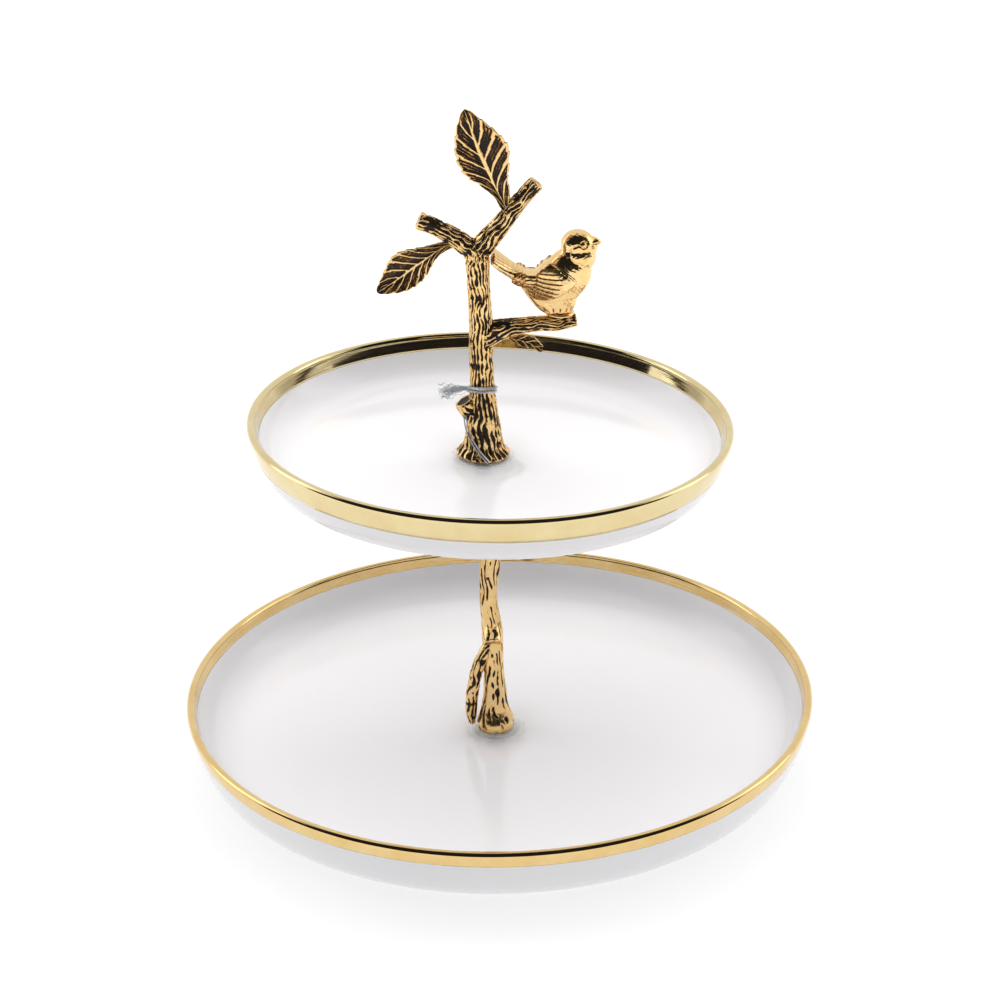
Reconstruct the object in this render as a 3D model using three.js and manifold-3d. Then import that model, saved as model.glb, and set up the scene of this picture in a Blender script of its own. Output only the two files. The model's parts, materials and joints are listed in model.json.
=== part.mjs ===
// Two-tier cake stand: two gold-rimmed porcelain dishes on a cast tree-trunk post, with a cast
// branch handle that carries leaves and a bird. Millimetres, +Z up, standing on Z = 0.
import * as THREE from 'three';
import { mergeVertices } from 'three/addons/utils/BufferGeometryUtils.js';
import Module from 'manifold-3d';

const wasm = await Module();
wasm.setup();

// ---- Driving dimensions ----

const SEAT_GAP = 0.3; // left between pieces that rest on each other
const BAND_GAP = 0.05; // between a gold band and the glaze it is fired on
const ROUND_SIDES = 48; // sides of the dishes
const SMALL_SIDES = 20; // sides of washers and screws

// A dish: rim is the outer lip radius, depth runs from the lip down to the inside floor, base is
// the floor's thickness, foot is how far the foot ring stands below the base, and play is how far
// the dish has slid off its screw or stud in its large hole.
const LOWER_DISH = {
  rim: 130, depth: 21.5, base: 4.5, foot: 5.5, footRadius: 84, footWidth: 5,
  bandOuter: 6.2, bandInner: 5.2, flare: 17, belly: 6, shoulder: 2.5, floorRun: 20, play: 1.8,
};
const UPPER_DISH = {
  rim: 96.6, depth: 17, base: 4.5, foot: 4, footRadius: 58, footWidth: 4,
  bandOuter: 10.1, bandInner: 6.3, flare: 15, belly: 5, shoulder: 3, floorRun: 18, play: 2.6,
};
const LIP_WIDTH = 3.25;
const WALL_LEAN = 2.2; // how far the inside wall leans in below the lip
const BAND_DEPTH = 0.5;

const THREAD_RADIUS = 3; // M6 screw and stud, crest radius
const THREAD_CLEARANCE = 0.2; // radial, screw in its tapped socket
const THREAD_ENGAGED = 9.5; // stud length held in the post
const STUD_IN_HANDLE = 12; // stud length pressed into the handle
const SOCKET_SPARE = 1.5; // socket depth past the end of a screw
const CLEAR_WASHER = { radius: 12.4, height: 1 };
const GASKET = { radius: 10.5, height: 0.8 };
const STEEL_WASHER = { radius: 8.5, height: 1 };
const SCREW_HEAD = { radius: 5.5, height: 2.2, driveRadius: 2, driveDepth: 1.3 };
const SCREW_IN_POST = 10;

const POST_X = -LOWER_DISH.play; // the post stands this far off the lower dish's centre
const TIER_X = -4.8; // where the handle's foot meets the upper dish's floor
const TIER_HEIGHT = 125.4; // from the lower dish's floor to the upper dish's floor
const TIER_TILT = THREE.MathUtils.degToRad(2.05); // the upper tier leans towards +X
const HOLE_MARGIN = 0.4; // left beside the screw or stud once a dish has slid over by its play
const POST_TOP_RADIUS = 11;
const POST_TOP_HEIGHT = 3;

const LEAF_THICKNESS = 1.2;
const BIRD_SEAT = { x: 28.7, y: 0, z: 61.6 }; // underside of the bird's base plate
const BIRD_BASE = { radius: 5.8, height: 1 };
const BIRD_PIN = { radius: 1.2, length: 6, clearance: 0.15 };
const THREAD_TIE_RADIUS = 0.5;
const TIE_HEIGHT = 29.3;
const TIE_CLEARANCE = 0.35;

// ---- Levels that follow from them ----

const LOWER_FLOOR = LOWER_DISH.foot + LOWER_DISH.base;
const FOOT_LEVEL = SEAT_GAP + CLEAR_WASHER.height + SEAT_GAP; // a casting's foot above its dish floor
const POST_FOOT = LOWER_FLOOR + FOOT_LEVEL;
const UNDER_WASHER_TOP = -UPPER_DISH.base - SEAT_GAP;
const POST_TOP = UNDER_WASHER_TOP - CLEAR_WASHER.height - SEAT_GAP; // in the tilted tier's frame
const SOCKET_RADIUS = THREAD_RADIUS + THREAD_CLEARANCE;

// ---- Materials ----

function finish(color, roughness, metalness) {
  return new THREE.MeshStandardMaterial({ color, roughness, metalness });
}
const porcelain = finish(0xf7f4f3, 0.12, 0);
const rimGold = finish(0xd9b15c, 0.15, 1);
const patinaGold = finish(0xc9953f, 0.32, 1);
const brightGold = finish(0xf0bd62, 0.16, 1);
const clearPlastic = finish(0xe8ecec, 0.1, 0);
const steel = finish(0xb9bcc0, 0.3, 1);
const rubber = finish(0x2b2b2d, 0.75, 0);
const tinsel = finish(0xaab0b5, 0.35, 0.8);

// ---- Solids ----

function toSolid(geometry) {
  const plain = geometry.clone();
  plain.deleteAttribute('normal');
  plain.deleteAttribute('uv');
  const merged = mergeVertices(plain, 1e-4);
  return new wasm.Manifold(new wasm.Mesh({
    numProp: 3,
    vertProperties: new Float32Array(merged.attributes.position.array),
    triVerts: new Uint32Array(merged.index.array),
  }));
}

function toGeometry(solid) {
  const mesh = solid.getMesh();
  const geometry = new THREE.BufferGeometry();
  geometry.setAttribute('position', new THREE.BufferAttribute(mesh.vertProperties, 3));
  geometry.setIndex(new THREE.BufferAttribute(mesh.triVerts, 1));
  geometry.computeVertexNormals();
  return geometry;
}

const join = (...geometries) => toGeometry(geometries.map(toSolid).reduce((a, b) => a.add(b)));
const cut = (body, ...tools) => toGeometry(tools.map(toSolid).reduce((a, b) => a.subtract(b), toSolid(body)));

function piece(parent, name, geometry, material) {
  const mesh = new THREE.Mesh(geometry, material);
  mesh.name = name;
  parent.add(mesh);
  return mesh;
}

// Turns a closed outline of (radius, height) points about Z.
function turned(outline, sides) {
  return new THREE.LatheGeometry([...outline, outline[0]], sides).rotateX(Math.PI / 2);
}

function rod(radius, bottom, top, sides = SMALL_SIDES) {
  const geometry = new THREE.CylinderGeometry(radius, radius, top - bottom, sides);
  return geometry.rotateX(Math.PI / 2).translate(0, 0, (top + bottom) / 2);
}

function ring(outer, inner, bottom, top) {
  const corners = [[inner, bottom], [outer, bottom], [outer, top], [inner, top]];
  return turned(corners.map(([r, z]) => new THREE.Vector2(r, z)), SMALL_SIDES * 2);
}

// A closed tapered tube through stations [x, y, z, radius].
function limb(stations, sides = 10, rings = 12, grow = 0) {
  const route = new THREE.CatmullRomCurve3(stations.map(([x, y, z]) => new THREE.Vector3(x, y, z)));
  const girth = new THREE.SplineCurve(stations.map(([, , , r], i) => new THREE.Vector2(i, r + grow)));
  const frames = route.computeFrenetFrames(rings, false);
  const geometry = new THREE.CylinderGeometry(1, 1, 1, sides, rings);
  const position = geometry.attributes.position;
  const point = new THREE.Vector3();
  for (let i = 0; i < position.count; i += 1) {
    const along = position.getY(i) + 0.5;
    const index = Math.round(along * rings);
    const t = route.getUtoTmapping(along);
    const radius = girth.getPoint(t).y;
    point.copy(route.getPoint(t));
    point.addScaledVector(frames.binormals[index], position.getX(i) * radius);
    point.addScaledVector(frames.normals[index], position.getZ(i) * radius);
    position.setXYZ(i, point.x, point.y, point.z);
  }
  return geometry;
}

// ---- Dishes ----

function curveBelow(curve, height) {
  let low = 0;
  let high = 1;
  for (let i = 0; i < 30; i += 1) {
    const middle = (low + high) / 2;
    if (curve.getPoint(middle).y < height) low = middle;
    else high = middle;
  }
  return low;
}

function dishWalls(dish) {
  const lipTurn = dish.depth - LIP_WIDTH / 2;
  const inside = dish.rim - LIP_WIDTH;
  const outer = new THREE.CubicBezierCurve(
    new THREE.Vector2(dish.rim - dish.flare, -dish.base),
    new THREE.Vector2(dish.rim - dish.belly, -dish.base),
    new THREE.Vector2(dish.rim - dish.shoulder, dish.depth * 0.3),
    new THREE.Vector2(dish.rim, lipTurn),
  );
  const inner = new THREE.CubicBezierCurve(
    new THREE.Vector2(inside - dish.floorRun, 0),
    new THREE.Vector2(inside - WALL_LEAN * 2, 0),
    new THREE.Vector2(inside - WALL_LEAN, dish.depth * 0.45),
    new THREE.Vector2(inside, lipTurn),
  );
  return { outer, inner };
}

// The lip's section from the gold band's outer foot over the lip to its inner foot, set in by
// inset from the glaze's outer surface.
function lipSection(dish, inset) {
  const { outer, inner } = dishWalls(dish);
  const outerStart = curveBelow(outer, dish.depth - dish.bandOuter);
  const innerStart = curveBelow(inner, dish.depth - dish.bandInner);
  const points = [];
  const wallSteps = 3;
  for (let i = 0; i < wallSteps; i += 1) {
    const t = THREE.MathUtils.lerp(outerStart, 1, i / wallSteps);
    const lean = outer.getTangent(t);
    points.push(outer.getPoint(t).add(new THREE.Vector2(-lean.y, lean.x).multiplyScalar(inset)));
  }
  const centre = new THREE.Vector2(dish.rim - LIP_WIDTH / 2, dish.depth - LIP_WIDTH / 2);
  const lip = new THREE.EllipseCurve(
    centre.x, centre.y, LIP_WIDTH / 2 - inset, LIP_WIDTH / 2 - inset, 0, Math.PI, false,
  );
  points.push(...lip.getPoints(4));
  for (let i = wallSteps - 1; i >= 0; i -= 1) {
    const t = THREE.MathUtils.lerp(innerStart, 1, i / wallSteps);
    const lean = inner.getTangent(t);
    points.push(inner.getPoint(t).add(new THREE.Vector2(lean.y, -lean.x).multiplyScalar(inset)));
  }
  return { points, outerStart, innerStart };
}

function dishGeometry(dish) {
  const { outer, inner } = dishWalls(dish);
  const seat = lipSection(dish, BAND_DEPTH + BAND_GAP);
  const footOut = dish.footRadius + dish.footWidth / 2;
  const footIn = dish.footRadius - dish.footWidth / 2;
  const footDraft = 1.5;
  const footBottom = -dish.base - dish.foot;
  const hole = THREAD_RADIUS + dish.play + HOLE_MARGIN;
  const outline = [
    [hole, -dish.base], [footIn - footDraft, -dish.base], [footIn, footBottom],
    [footOut, footBottom], [footOut + footDraft, -dish.base],
  ].map(([r, z]) => new THREE.Vector2(r, z));
  const wallSteps = 5;
  const ledge = curveBelow(outer, dish.depth - dish.bandOuter - BAND_GAP);
  const sill = curveBelow(inner, dish.depth - dish.bandInner - BAND_GAP);
  for (let i = 0; i <= wallSteps; i += 1) outline.push(outer.getPoint((ledge * i) / wallSteps));
  outline.push(...seat.points);
  for (let i = wallSteps; i >= 0; i -= 1) outline.push(inner.getPoint((sill * i) / wallSteps));
  outline.push(new THREE.Vector2(hole, 0));
  return turned(outline, ROUND_SIDES);
}

function rimGeometry(dish) {
  const skin = lipSection(dish, 0).points;
  const backing = lipSection(dish, BAND_DEPTH).points.reverse();
  return turned([...skin, ...backing], ROUND_SIDES);
}

// ---- Lower tier ----

const stand = new THREE.Group();

const lowerTier = new THREE.Group();
lowerTier.position.z = LOWER_FLOOR;
stand.add(lowerTier);
piece(lowerTier, 'lower_plate', dishGeometry(LOWER_DISH), porcelain);
piece(lowerTier, 'lower_gold_rim', rimGeometry(LOWER_DISH), rimGold);

const baseFixing = new THREE.Group();
baseFixing.position.x = POST_X;
stand.add(baseFixing);

function fixingStack() {
  const washerBottom = LOWER_FLOOR + SEAT_GAP;
  const washer = ring(CLEAR_WASHER.radius, SOCKET_RADIUS, washerBottom, washerBottom + CLEAR_WASHER.height);
  piece(baseFixing, 'lower_clear_washer', washer, clearPlastic);
  const gasketTop = LOWER_DISH.foot - SEAT_GAP;
  const gasketBottom = gasketTop - GASKET.height;
  piece(baseFixing, 'base_gasket', ring(GASKET.radius, SOCKET_RADIUS, gasketBottom, gasketTop), rubber);
  const steelTop = gasketBottom - SEAT_GAP / 2;
  const steelBottom = steelTop - STEEL_WASHER.height;
  const steelRing = ring(STEEL_WASHER.radius, SOCKET_RADIUS, steelBottom, steelTop);
  piece(baseFixing, 'base_steel_washer', steelRing, steel);
  const headTop = steelBottom - SEAT_GAP / 2;
  const headBottom = headTop - SCREW_HEAD.height;
  const body = join(
    rod(SCREW_HEAD.radius, headBottom, headTop),
    rod(THREAD_RADIUS, headTop - SCREW_HEAD.height / 2, POST_FOOT + SCREW_IN_POST),
  );
  const drive = rod(SCREW_HEAD.driveRadius, headBottom - 1, headBottom + SCREW_HEAD.driveDepth, 6);
  piece(baseFixing, 'base_screw', cut(body, drive), steel);
}
fixingStack();

// The tilted frame of everything that the post's top carries: Z = 0 is the upper dish's floor.
const tier = new THREE.Group();
tier.position.set(TIER_X, 0, LOWER_FLOOR + TIER_HEIGHT);
tier.rotation.y = TIER_TILT;
stand.add(tier);
tier.updateMatrixWorld(true);

const inTier = (x, y, z) => new THREE.Vector3(x, y, z).applyMatrix4(tier.matrixWorld).toArray();

// The post's stations, from its bell foot to the collar under the upper dish. Offsets are from a
// straight line between the foot and the collar, along which t runs from 0 to 1.
const POST_SHAPE = [
  { t: 0, x: 0, r: 7.3 }, { t: 0.03, x: 0, r: 7.9 }, { t: 0.07, x: 0.1, r: 5.8 },
  { t: 0.13, x: 0.4, r: 4.7 }, { t: 0.21, x: 0.4, r: 4.4 }, { t: 0.29, x: 0.5, r: 4.1 },
  { t: 0.45, x: 0.1, r: 3.8 }, { t: 0.56, x: 0.2, r: 3.7 }, { t: 0.68, x: 0.6, r: 4.2 },
  { t: 0.82, x: 0.3, r: 4.4 }, { t: 0.93, x: 0, r: 5.6 }, { t: 1, x: 0, r: 7.6 },
];
const POST_SIDES = 12;
const POST_RINGS = 26;

function postStations(shape) {
  const foot = new THREE.Vector3(POST_X, 0, POST_FOOT);
  const top = new THREE.Vector3(...inTier(0, 0, POST_TOP - POST_TOP_HEIGHT / 2));
  return shape.map(({ t, x, r }) => {
    const at = foot.clone().lerp(top, t);
    return [at.x + x, at.y, at.z, r];
  });
}

function postTopSocket() {
  const depth = THREAD_ENGAGED + SOCKET_SPARE;
  return rod(SOCKET_RADIUS, POST_TOP - depth, POST_TOP + 1).applyMatrix4(tier.matrixWorld);
}

const postLimb = (grow) => limb(postStations(POST_SHAPE), POST_SIDES, POST_RINGS, grow);

function lowerPost() {
  const collar = rod(POST_TOP_RADIUS, POST_TOP - POST_TOP_HEIGHT, POST_TOP).applyMatrix4(tier.matrixWorld);
  const baseSocket = rod(SOCKET_RADIUS, POST_FOOT - 1, POST_FOOT + SCREW_IN_POST + SOCKET_SPARE);
  baseSocket.translate(POST_X, 0, 0);
  return cut(join(postLimb(0), collar), postTopSocket(), baseSocket);
}
piece(stand, 'lower_post', lowerPost(), patinaGold);

const POST_KNOT = [
  [POST_X - 0.9, -0.6, LOWER_FLOOR + 48.4, 3], [POST_X - 0.8, -2.8, LOWER_FLOOR + 46.8, 3.7],
  [POST_X - 0.6, -5.4, LOWER_FLOOR + 44, 4.1],
];
const TWIG_TIP_LEVEL = POST_FOOT + 2.2;
const TWIG = [
  [POST_X - 0.8, -1.5, LOWER_FLOOR + 42, 1.6], [POST_X - 4.4, -2.2, LOWER_FLOOR + 37, 2.3],
  [POST_X - 7.6, -2.2, LOWER_FLOOR + 29, 2.4], [POST_X - 9.5, -1.8, LOWER_FLOOR + 18, 2.5],
  [POST_X - 10, -1.4, LOWER_FLOOR + 9, 2.2], [POST_X - 9.8, -1.2, TWIG_TIP_LEVEL, 1.5],
];
const knotLimb = (grow) => limb(POST_KNOT, 12, 6, grow);
piece(stand, 'lower_knot', cut(knotLimb(0), postLimb(SEAT_GAP)), patinaGold);
piece(stand, 'lower_twig', cut(limb(TWIG, 8, 14), postLimb(SEAT_GAP), knotLimb(SEAT_GAP)), patinaGold);

// ---- Upper dish and the handle's fixing ----

const upperDish = new THREE.Group();
upperDish.position.x = UPPER_DISH.play;
tier.add(upperDish);
piece(upperDish, 'upper_plate', dishGeometry(UPPER_DISH), porcelain);
piece(upperDish, 'upper_gold_rim', rimGeometry(UPPER_DISH), rimGold);

const clearRing = (bottom) => ring(CLEAR_WASHER.radius, SOCKET_RADIUS, bottom, bottom + CLEAR_WASHER.height);
piece(tier, 'under_clear_washer', clearRing(UNDER_WASHER_TOP - CLEAR_WASHER.height), clearPlastic);
piece(tier, 'upper_clear_washer', clearRing(SEAT_GAP), clearPlastic);
const STUD_BOTTOM = POST_TOP - THREAD_ENGAGED;
const STUD_TOP = FOOT_LEVEL + STUD_IN_HANDLE;
piece(tier, 'handle_stud', rod(THREAD_RADIUS, STUD_BOTTOM, STUD_TOP), steel);

// ---- Branch handle, in the tilted tier's frame ----

const TRUNK = [
  [0, 0, FOOT_LEVEL, 10.6], [0, 0, 4.5, 8.7], [-0.1, 0, 11, 7.1], [-0.7, 0, 19, 6.3],
  [-0.95, 0, 32, 4.7], [-1.8, 0, 47, 4.5], [-2.3, 0, 64, 4.3], [-3.4, 0, 77, 4.3],
  [-4, 0, 86, 4.1], [-4.4, 0, 90.5, 2.6],
];
const TRUNK_SIDES = 12;
const TRUNK_RINGS = 22;
const trunkLimb = (grow) => limb(TRUNK, TRUNK_SIDES, TRUNK_RINGS, grow);
const studSocket = () => rod(SOCKET_RADIUS, FOOT_LEVEL - 1, STUD_TOP + SOCKET_SPARE);
piece(tier, 'handle_trunk', cut(trunkLimb(0), studSocket()), patinaGold);

const RIGHT_BRANCH = [
  [-4.2, 0, 86, 3.4], [-0.4, 0, 90.8, 3.7], [3.8, 0, 96, 3.6], [11.5, 0, 106, 3.2], [18.4, 0, 114.6, 3.1],
];
const LEFT_BRANCH = [
  [-4, 0, 85, 3.2], [-9.4, 0, 89.6, 3.5], [-14.6, 0, 93, 3.3], [-20.4, 0, 96.2, 3.2], [-26.6, 0, 98.7, 3.5],
];
const PERCH = [
  [-1.6, 0, 50.5, 3.2], [4, 0, 53.8, 3.6], [11, 0, 55.8, 3.2], [19, 0, 57.2, 3.1],
  [28, 0, 57.6, 3], [35.4, 0, 59, 2.4],
];
const KNOT = [[-1, 0, 14.5, 3.2], [-5.5, -0.4, 19.6, 3.8], [-8.6, -0.8, 23.6, 3.9]];

function onTrunk(name, stations, ...tools) {
  piece(tier, name, cut(limb(stations, 10, 10), trunkLimb(SEAT_GAP), ...tools), patinaGold);
}
onTrunk('right_branch', RIGHT_BRANCH);
onTrunk('left_branch', LEFT_BRANCH, limb(RIGHT_BRANCH, 10, 10, SEAT_GAP));
onTrunk('trunk_knot', KNOT);

// The bird stands on a flat seat milled in the perch, held by a pin that enters both.
const flatSeat = new THREE.BoxGeometry(BIRD_BASE.radius * 2 + 1, BIRD_BASE.radius * 4, BIRD_BASE.radius);
flatSeat.translate(BIRD_SEAT.x, BIRD_SEAT.y, BIRD_SEAT.z - SEAT_GAP + BIRD_BASE.radius / 2);
const PIN_BOTTOM = BIRD_SEAT.z - BIRD_PIN.length / 2;
const PIN_TOP = PIN_BOTTOM + BIRD_PIN.length;
const PIN_SPARE = 0.4;
const atBird = (geometry) => geometry.translate(BIRD_SEAT.x, BIRD_SEAT.y, 0);
const PIN_SIDES = 12;
const PIN_HOLE_RADIUS = BIRD_PIN.radius + BIRD_PIN.clearance;
const pinHole = () => atBird(rod(PIN_HOLE_RADIUS, PIN_BOTTOM - PIN_SPARE, PIN_TOP + PIN_SPARE, PIN_SIDES));
onTrunk('perch_branch', PERCH, flatSeat, pinHole());
piece(tier, 'bird_pin', atBird(rod(BIRD_PIN.radius, PIN_BOTTOM, PIN_TOP, PIN_SIDES)), steel);
const birdBase = atBird(rod(BIRD_BASE.radius, BIRD_SEAT.z, BIRD_SEAT.z + BIRD_BASE.height));
piece(tier, 'bird_base', cut(birdBase, pinHole()), brightGold);

// ---- Leaves ----

// A blade in the XZ plane: midrib points [x, z] with the half widths to each side of it.
function blade(midrib, leftWidths, rightWidths, y) {
  const spine = new THREE.SplineCurve(midrib.map(([x, z]) => new THREE.Vector2(x, z)));
  const side = (widths, sign) => widths.map((width, i) => {
    const t = (i + 1) / (widths.length + 1);
    const along = spine.getTangent(t);
    return spine.getPoint(t).add(new THREE.Vector2(-along.y, along.x).multiplyScalar(sign * width));
  });
  const left = side(leftWidths, 1);
  const right = side(rightWidths, -1).reverse();
  const shape = new THREE.Shape();
  const start = spine.getPoint(0);
  shape.moveTo(start.x, start.y);
  shape.splineThru([...left, spine.getPoint(1)]);
  shape.splineThru([...right, start]);
  const options = { depth: LEAF_THICKNESS, bevelEnabled: false, curveSegments: 2 };
  const geometry = new THREE.ExtrudeGeometry(shape, options);
  return geometry.rotateX(Math.PI / 2).translate(0, y + LEAF_THICKNESS / 2, 0);
}

function leaf(name, stalk, bladeGeometry, branch) {
  const whole = join(limb(stalk, 8, 5), bladeGeometry);
  piece(tier, name, cut(whole, limb(branch, 10, 10, SEAT_GAP)), patinaGold);
}
leaf('top_leaf', [[8.6, 0, 101.4, 1.7], [6.4, 0, 107, 1.5], [2.6, 0, 113, 1.2]],
  blade([[5.7, 106.7], [0.1, 118.1], [-4.4, 127.5], [-9.7, 142.3]],
    [1.6, 4.6, 7.6, 8.6, 7.9, 5.9, 2.9], [4.4, 7.4, 10.4, 11.9, 11.3, 8.8, 4.8], 0),
  RIGHT_BRANCH);
leaf('left_leaf', [[-14.6, 0, 92.6, 1.7], [-18.6, 0, 87.4, 1.5], [-22.6, 0, 83.2, 1.1]],
  blade([[-18.4, 86.4], [-26.5, 80.5], [-33.5, 74.9], [-42.4, 69.2]],
    [1.6, 3.6, 5.4, 5.6, 5.3, 4.2, 2.2], [2.4, 5.2, 7.4, 8.8, 9, 7.6, 4.4], 0),
  LEFT_BRANCH);
leaf('perch_leaf', [[9.4, 0, 53.4, 1.2], [12, -0.6, 50.6, 1.1], [14.6, -0.8, 50, 0.9]],
  blade([[12.4, 51], [15.6, 50.3], [18.6, 48.9], [21.6, 46.9]],
    [2.2, 2.9, 2.7], [1.2, 1.7, 1.5], -0.8),
  PERCH);

// ---- Bird ----

const BALL_SIDES = 16;
const BALL_RINGS = 10;

function ball(rx, ry, rz, x, z, lean = 0, y = 0) {
  const geometry = new THREE.SphereGeometry(1, BALL_SIDES, BALL_RINGS).rotateX(Math.PI / 2);
  return geometry.scale(rx, ry, rz).rotateY(-lean).translate(x, y, z);
}

function bird() {
  const lift = BIRD_SEAT.z + BIRD_BASE.height + SEAT_GAP;
  const wing = (y) => ball(11, 2.4, 5.4, 24.4, 78, 0.2, y);
  const whole = join(
    ball(13.8, 8.6, 9.6, 28.6, 75.6, 0.62),
    ball(6.4, 6.2, 6, 34.6, 90.2),
    limb([[38.4, 0, 90.4, 3], [41, 0, 91.2, 1.7], [43.2, 0, 91.8, 0.5]], 8, 3),
    limb([[22, 0, 75.4, 4.6], [10.6, 0, 77.6, 2.8], [4, 0, 82.6, 3.4]], 8, 5),
    limb([[28.7, 0, lift + 0.1, 5.4], [28.7, 0, lift + 3.4, 6.2], [28.6, 0, lift + 9, 7]], 12, 4),
    wing(-7.2),
    wing(7.2),
  );
  const benchSize = 60;
  const bench = new THREE.BoxGeometry(benchSize, benchSize, benchSize);
  bench.translate(BIRD_SEAT.x, 0, lift - benchSize / 2);
  return cut(whole, bench, pinHole());
}
piece(tier, 'bird', bird(), brightGold);

// ---- Tinsel thread tied round the trunk ----

function thread(points, steps) {
  const route = new THREE.CatmullRomCurve3(points.map((p) => new THREE.Vector3(...p)));
  const section = new THREE.Shape().absarc(0, 0, THREAD_TIE_RADIUS, 0, Math.PI * 2);
  return new THREE.ExtrudeGeometry(section, { extrudePath: route, steps, curveSegments: 8 });
}

const TIE_TRUNK = { x: -0.9, radius: 5.15 }; // the trunk where the thread goes round it
const TIE_REACH = TIE_TRUNK.radius + TIE_CLEARANCE + THREAD_TIE_RADIUS;
const tieLoop = new THREE.TorusGeometry(TIE_REACH, THREAD_TIE_RADIUS, 8, 24);
piece(tier, 'tie_loop', tieLoop.translate(TIE_TRUNK.x, 0, TIE_HEIGHT), tinsel);
piece(tier, 'tie_tail', thread([
  [TIE_TRUNK.x - TIE_REACH - 1.2, -1, TIE_HEIGHT], [-11, -2, TIE_HEIGHT + 0.6],
  [-14.5, -2.6, TIE_HEIGHT - 0.2], [-18, -3, TIE_HEIGHT - 1.6],
], 10), tinsel);
piece(tier, 'tie_strand', thread([
  [-7.7, -3.6, 17.2], [-6, -6.2, 11.6], [-3, -8.2, 7], [0.6, -10.6, 3.4],
], 10), tinsel);

export default stand;
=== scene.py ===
"""Two-tier porcelain cake stand with a cast branch handle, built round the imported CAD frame."""
import json
import math

import bpy
import numpy as np
from mathutils import Matrix, Vector


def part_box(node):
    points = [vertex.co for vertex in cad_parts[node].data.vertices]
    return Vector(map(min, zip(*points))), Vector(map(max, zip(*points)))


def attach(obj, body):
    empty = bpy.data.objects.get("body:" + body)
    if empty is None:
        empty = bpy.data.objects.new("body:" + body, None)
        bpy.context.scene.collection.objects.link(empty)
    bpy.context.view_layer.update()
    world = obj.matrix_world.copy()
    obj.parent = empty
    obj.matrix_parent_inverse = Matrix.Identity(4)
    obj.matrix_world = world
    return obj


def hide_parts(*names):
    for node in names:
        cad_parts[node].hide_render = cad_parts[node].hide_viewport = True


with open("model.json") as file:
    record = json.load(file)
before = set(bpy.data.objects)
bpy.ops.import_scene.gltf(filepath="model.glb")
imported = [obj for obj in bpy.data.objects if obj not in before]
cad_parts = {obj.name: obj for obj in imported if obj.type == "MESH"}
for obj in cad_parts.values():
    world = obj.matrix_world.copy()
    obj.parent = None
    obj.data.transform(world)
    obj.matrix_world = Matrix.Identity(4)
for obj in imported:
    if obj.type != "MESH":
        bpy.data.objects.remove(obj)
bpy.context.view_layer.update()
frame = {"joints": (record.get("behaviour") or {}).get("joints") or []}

MM = 0.001
RNG = np.random.default_rng(7)

# ---------------------------------------------------------------- frame facts


def joint(name):
    return next(j for j in frame["joints"] if j["name"] == name)


HANDLE_AXIS = Vector(joint("handle_turn")["axis"]).normalized()
TIER_ORIGIN = Vector(joint("handle_turn")["pos_m"])
UPPER_CENTRE = Vector(joint("upper_dish_turn")["pos_m"])
POST_ORIGIN = Vector(joint("post_turn")["pos_m"])
LOWER_FLOOR = POST_ORIGIN.z


def placement(origin):
    """The matrix, in metres, of a frame on the tilted tier axis with its origin at a given point."""
    side = Vector((0, 1, 0))
    across = side.cross(HANDLE_AXIS).normalized()
    turn = Matrix((across, side, HANDLE_AXIS)).transposed().to_4x4()
    return Matrix.Translation(origin) @ turn


TIER = placement(TIER_ORIGIN)
UPPER_DISH = placement(UPPER_CENTRE)
LOWER_DISH = Matrix.Translation((0, 0, LOWER_FLOOR))
BASE = Matrix.Translation((POST_ORIGIN.x, POST_ORIGIN.y, 0))

# ---------------------------------------------------------------- camera

CAMERA_PLACE = (0.0016, -0.8983, 0.5306)
CAMERA_DOWN = math.radians(24.77)
CAMERA_ROLL = 0.0168
CAMERA_LENS = 88.2


def make_camera():
    data = bpy.data.cameras.new("camera")
    data.lens = CAMERA_LENS
    data.sensor_width = 36.0
    data.clip_end = 50.0
    camera = bpy.data.objects.new("camera", data)
    look = Matrix.Rotation(math.pi / 2 - CAMERA_DOWN, 4, "X")
    roll = Matrix.Rotation(-CAMERA_ROLL, 4, "Z")
    camera.matrix_world = Matrix.Translation(CAMERA_PLACE) @ look @ roll
    bpy.context.scene.collection.objects.link(camera)
    bpy.context.scene.camera = camera


make_camera()

# ---------------------------------------------------------------- node helpers


def shader(name, **inputs):
    """A new material and its Principled shader, with constants set on the shader's sockets."""
    material = bpy.data.materials.new(name)
    material.use_nodes = True
    tree = material.node_tree
    principled = tree.nodes["Principled BSDF"]
    for key, value in inputs.items():
        principled.inputs[key.replace("_", " ")].default_value = value
    return material, tree, principled


def node(tree, kind, inputs=None, **settings):
    made = tree.nodes.new(kind)
    for key, value in settings.items():
        setattr(made, key, value)
    for key, value in (inputs or {}).items():
        if isinstance(value, bpy.types.NodeSocket):
            tree.links.new(value, made.inputs[key])
        else:
            made.inputs[key].default_value = value
    return made


def ramp(tree, source, stops):
    made = node(tree, "ShaderNodeValToRGB", {"Fac": source})
    elements = made.color_ramp.elements
    while len(elements) < len(stops):
        elements.new(0.5)
    for element, (place, colour) in zip(elements, stops):
        element.position = place
        element.color = colour if len(colour) == 4 else (*colour, 1)
    return made.outputs["Color"]


def level(tree, source, low, high, to_low, to_high):
    made = node(tree, "ShaderNodeMapRange", {"Value": source, "From Min": low, "From Max": high,
                                             "To Min": to_low, "To Max": to_high})
    return made.outputs["Result"]


def noise(tree, place, scale, detail=3.0, rough=0.5, distortion=0.0):
    made = node(tree, "ShaderNodeTexNoise", {"Vector": place, "Scale": scale, "Detail": detail,
                                             "Roughness": rough, "Distortion": distortion})
    return made.outputs["Fac"]


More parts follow.
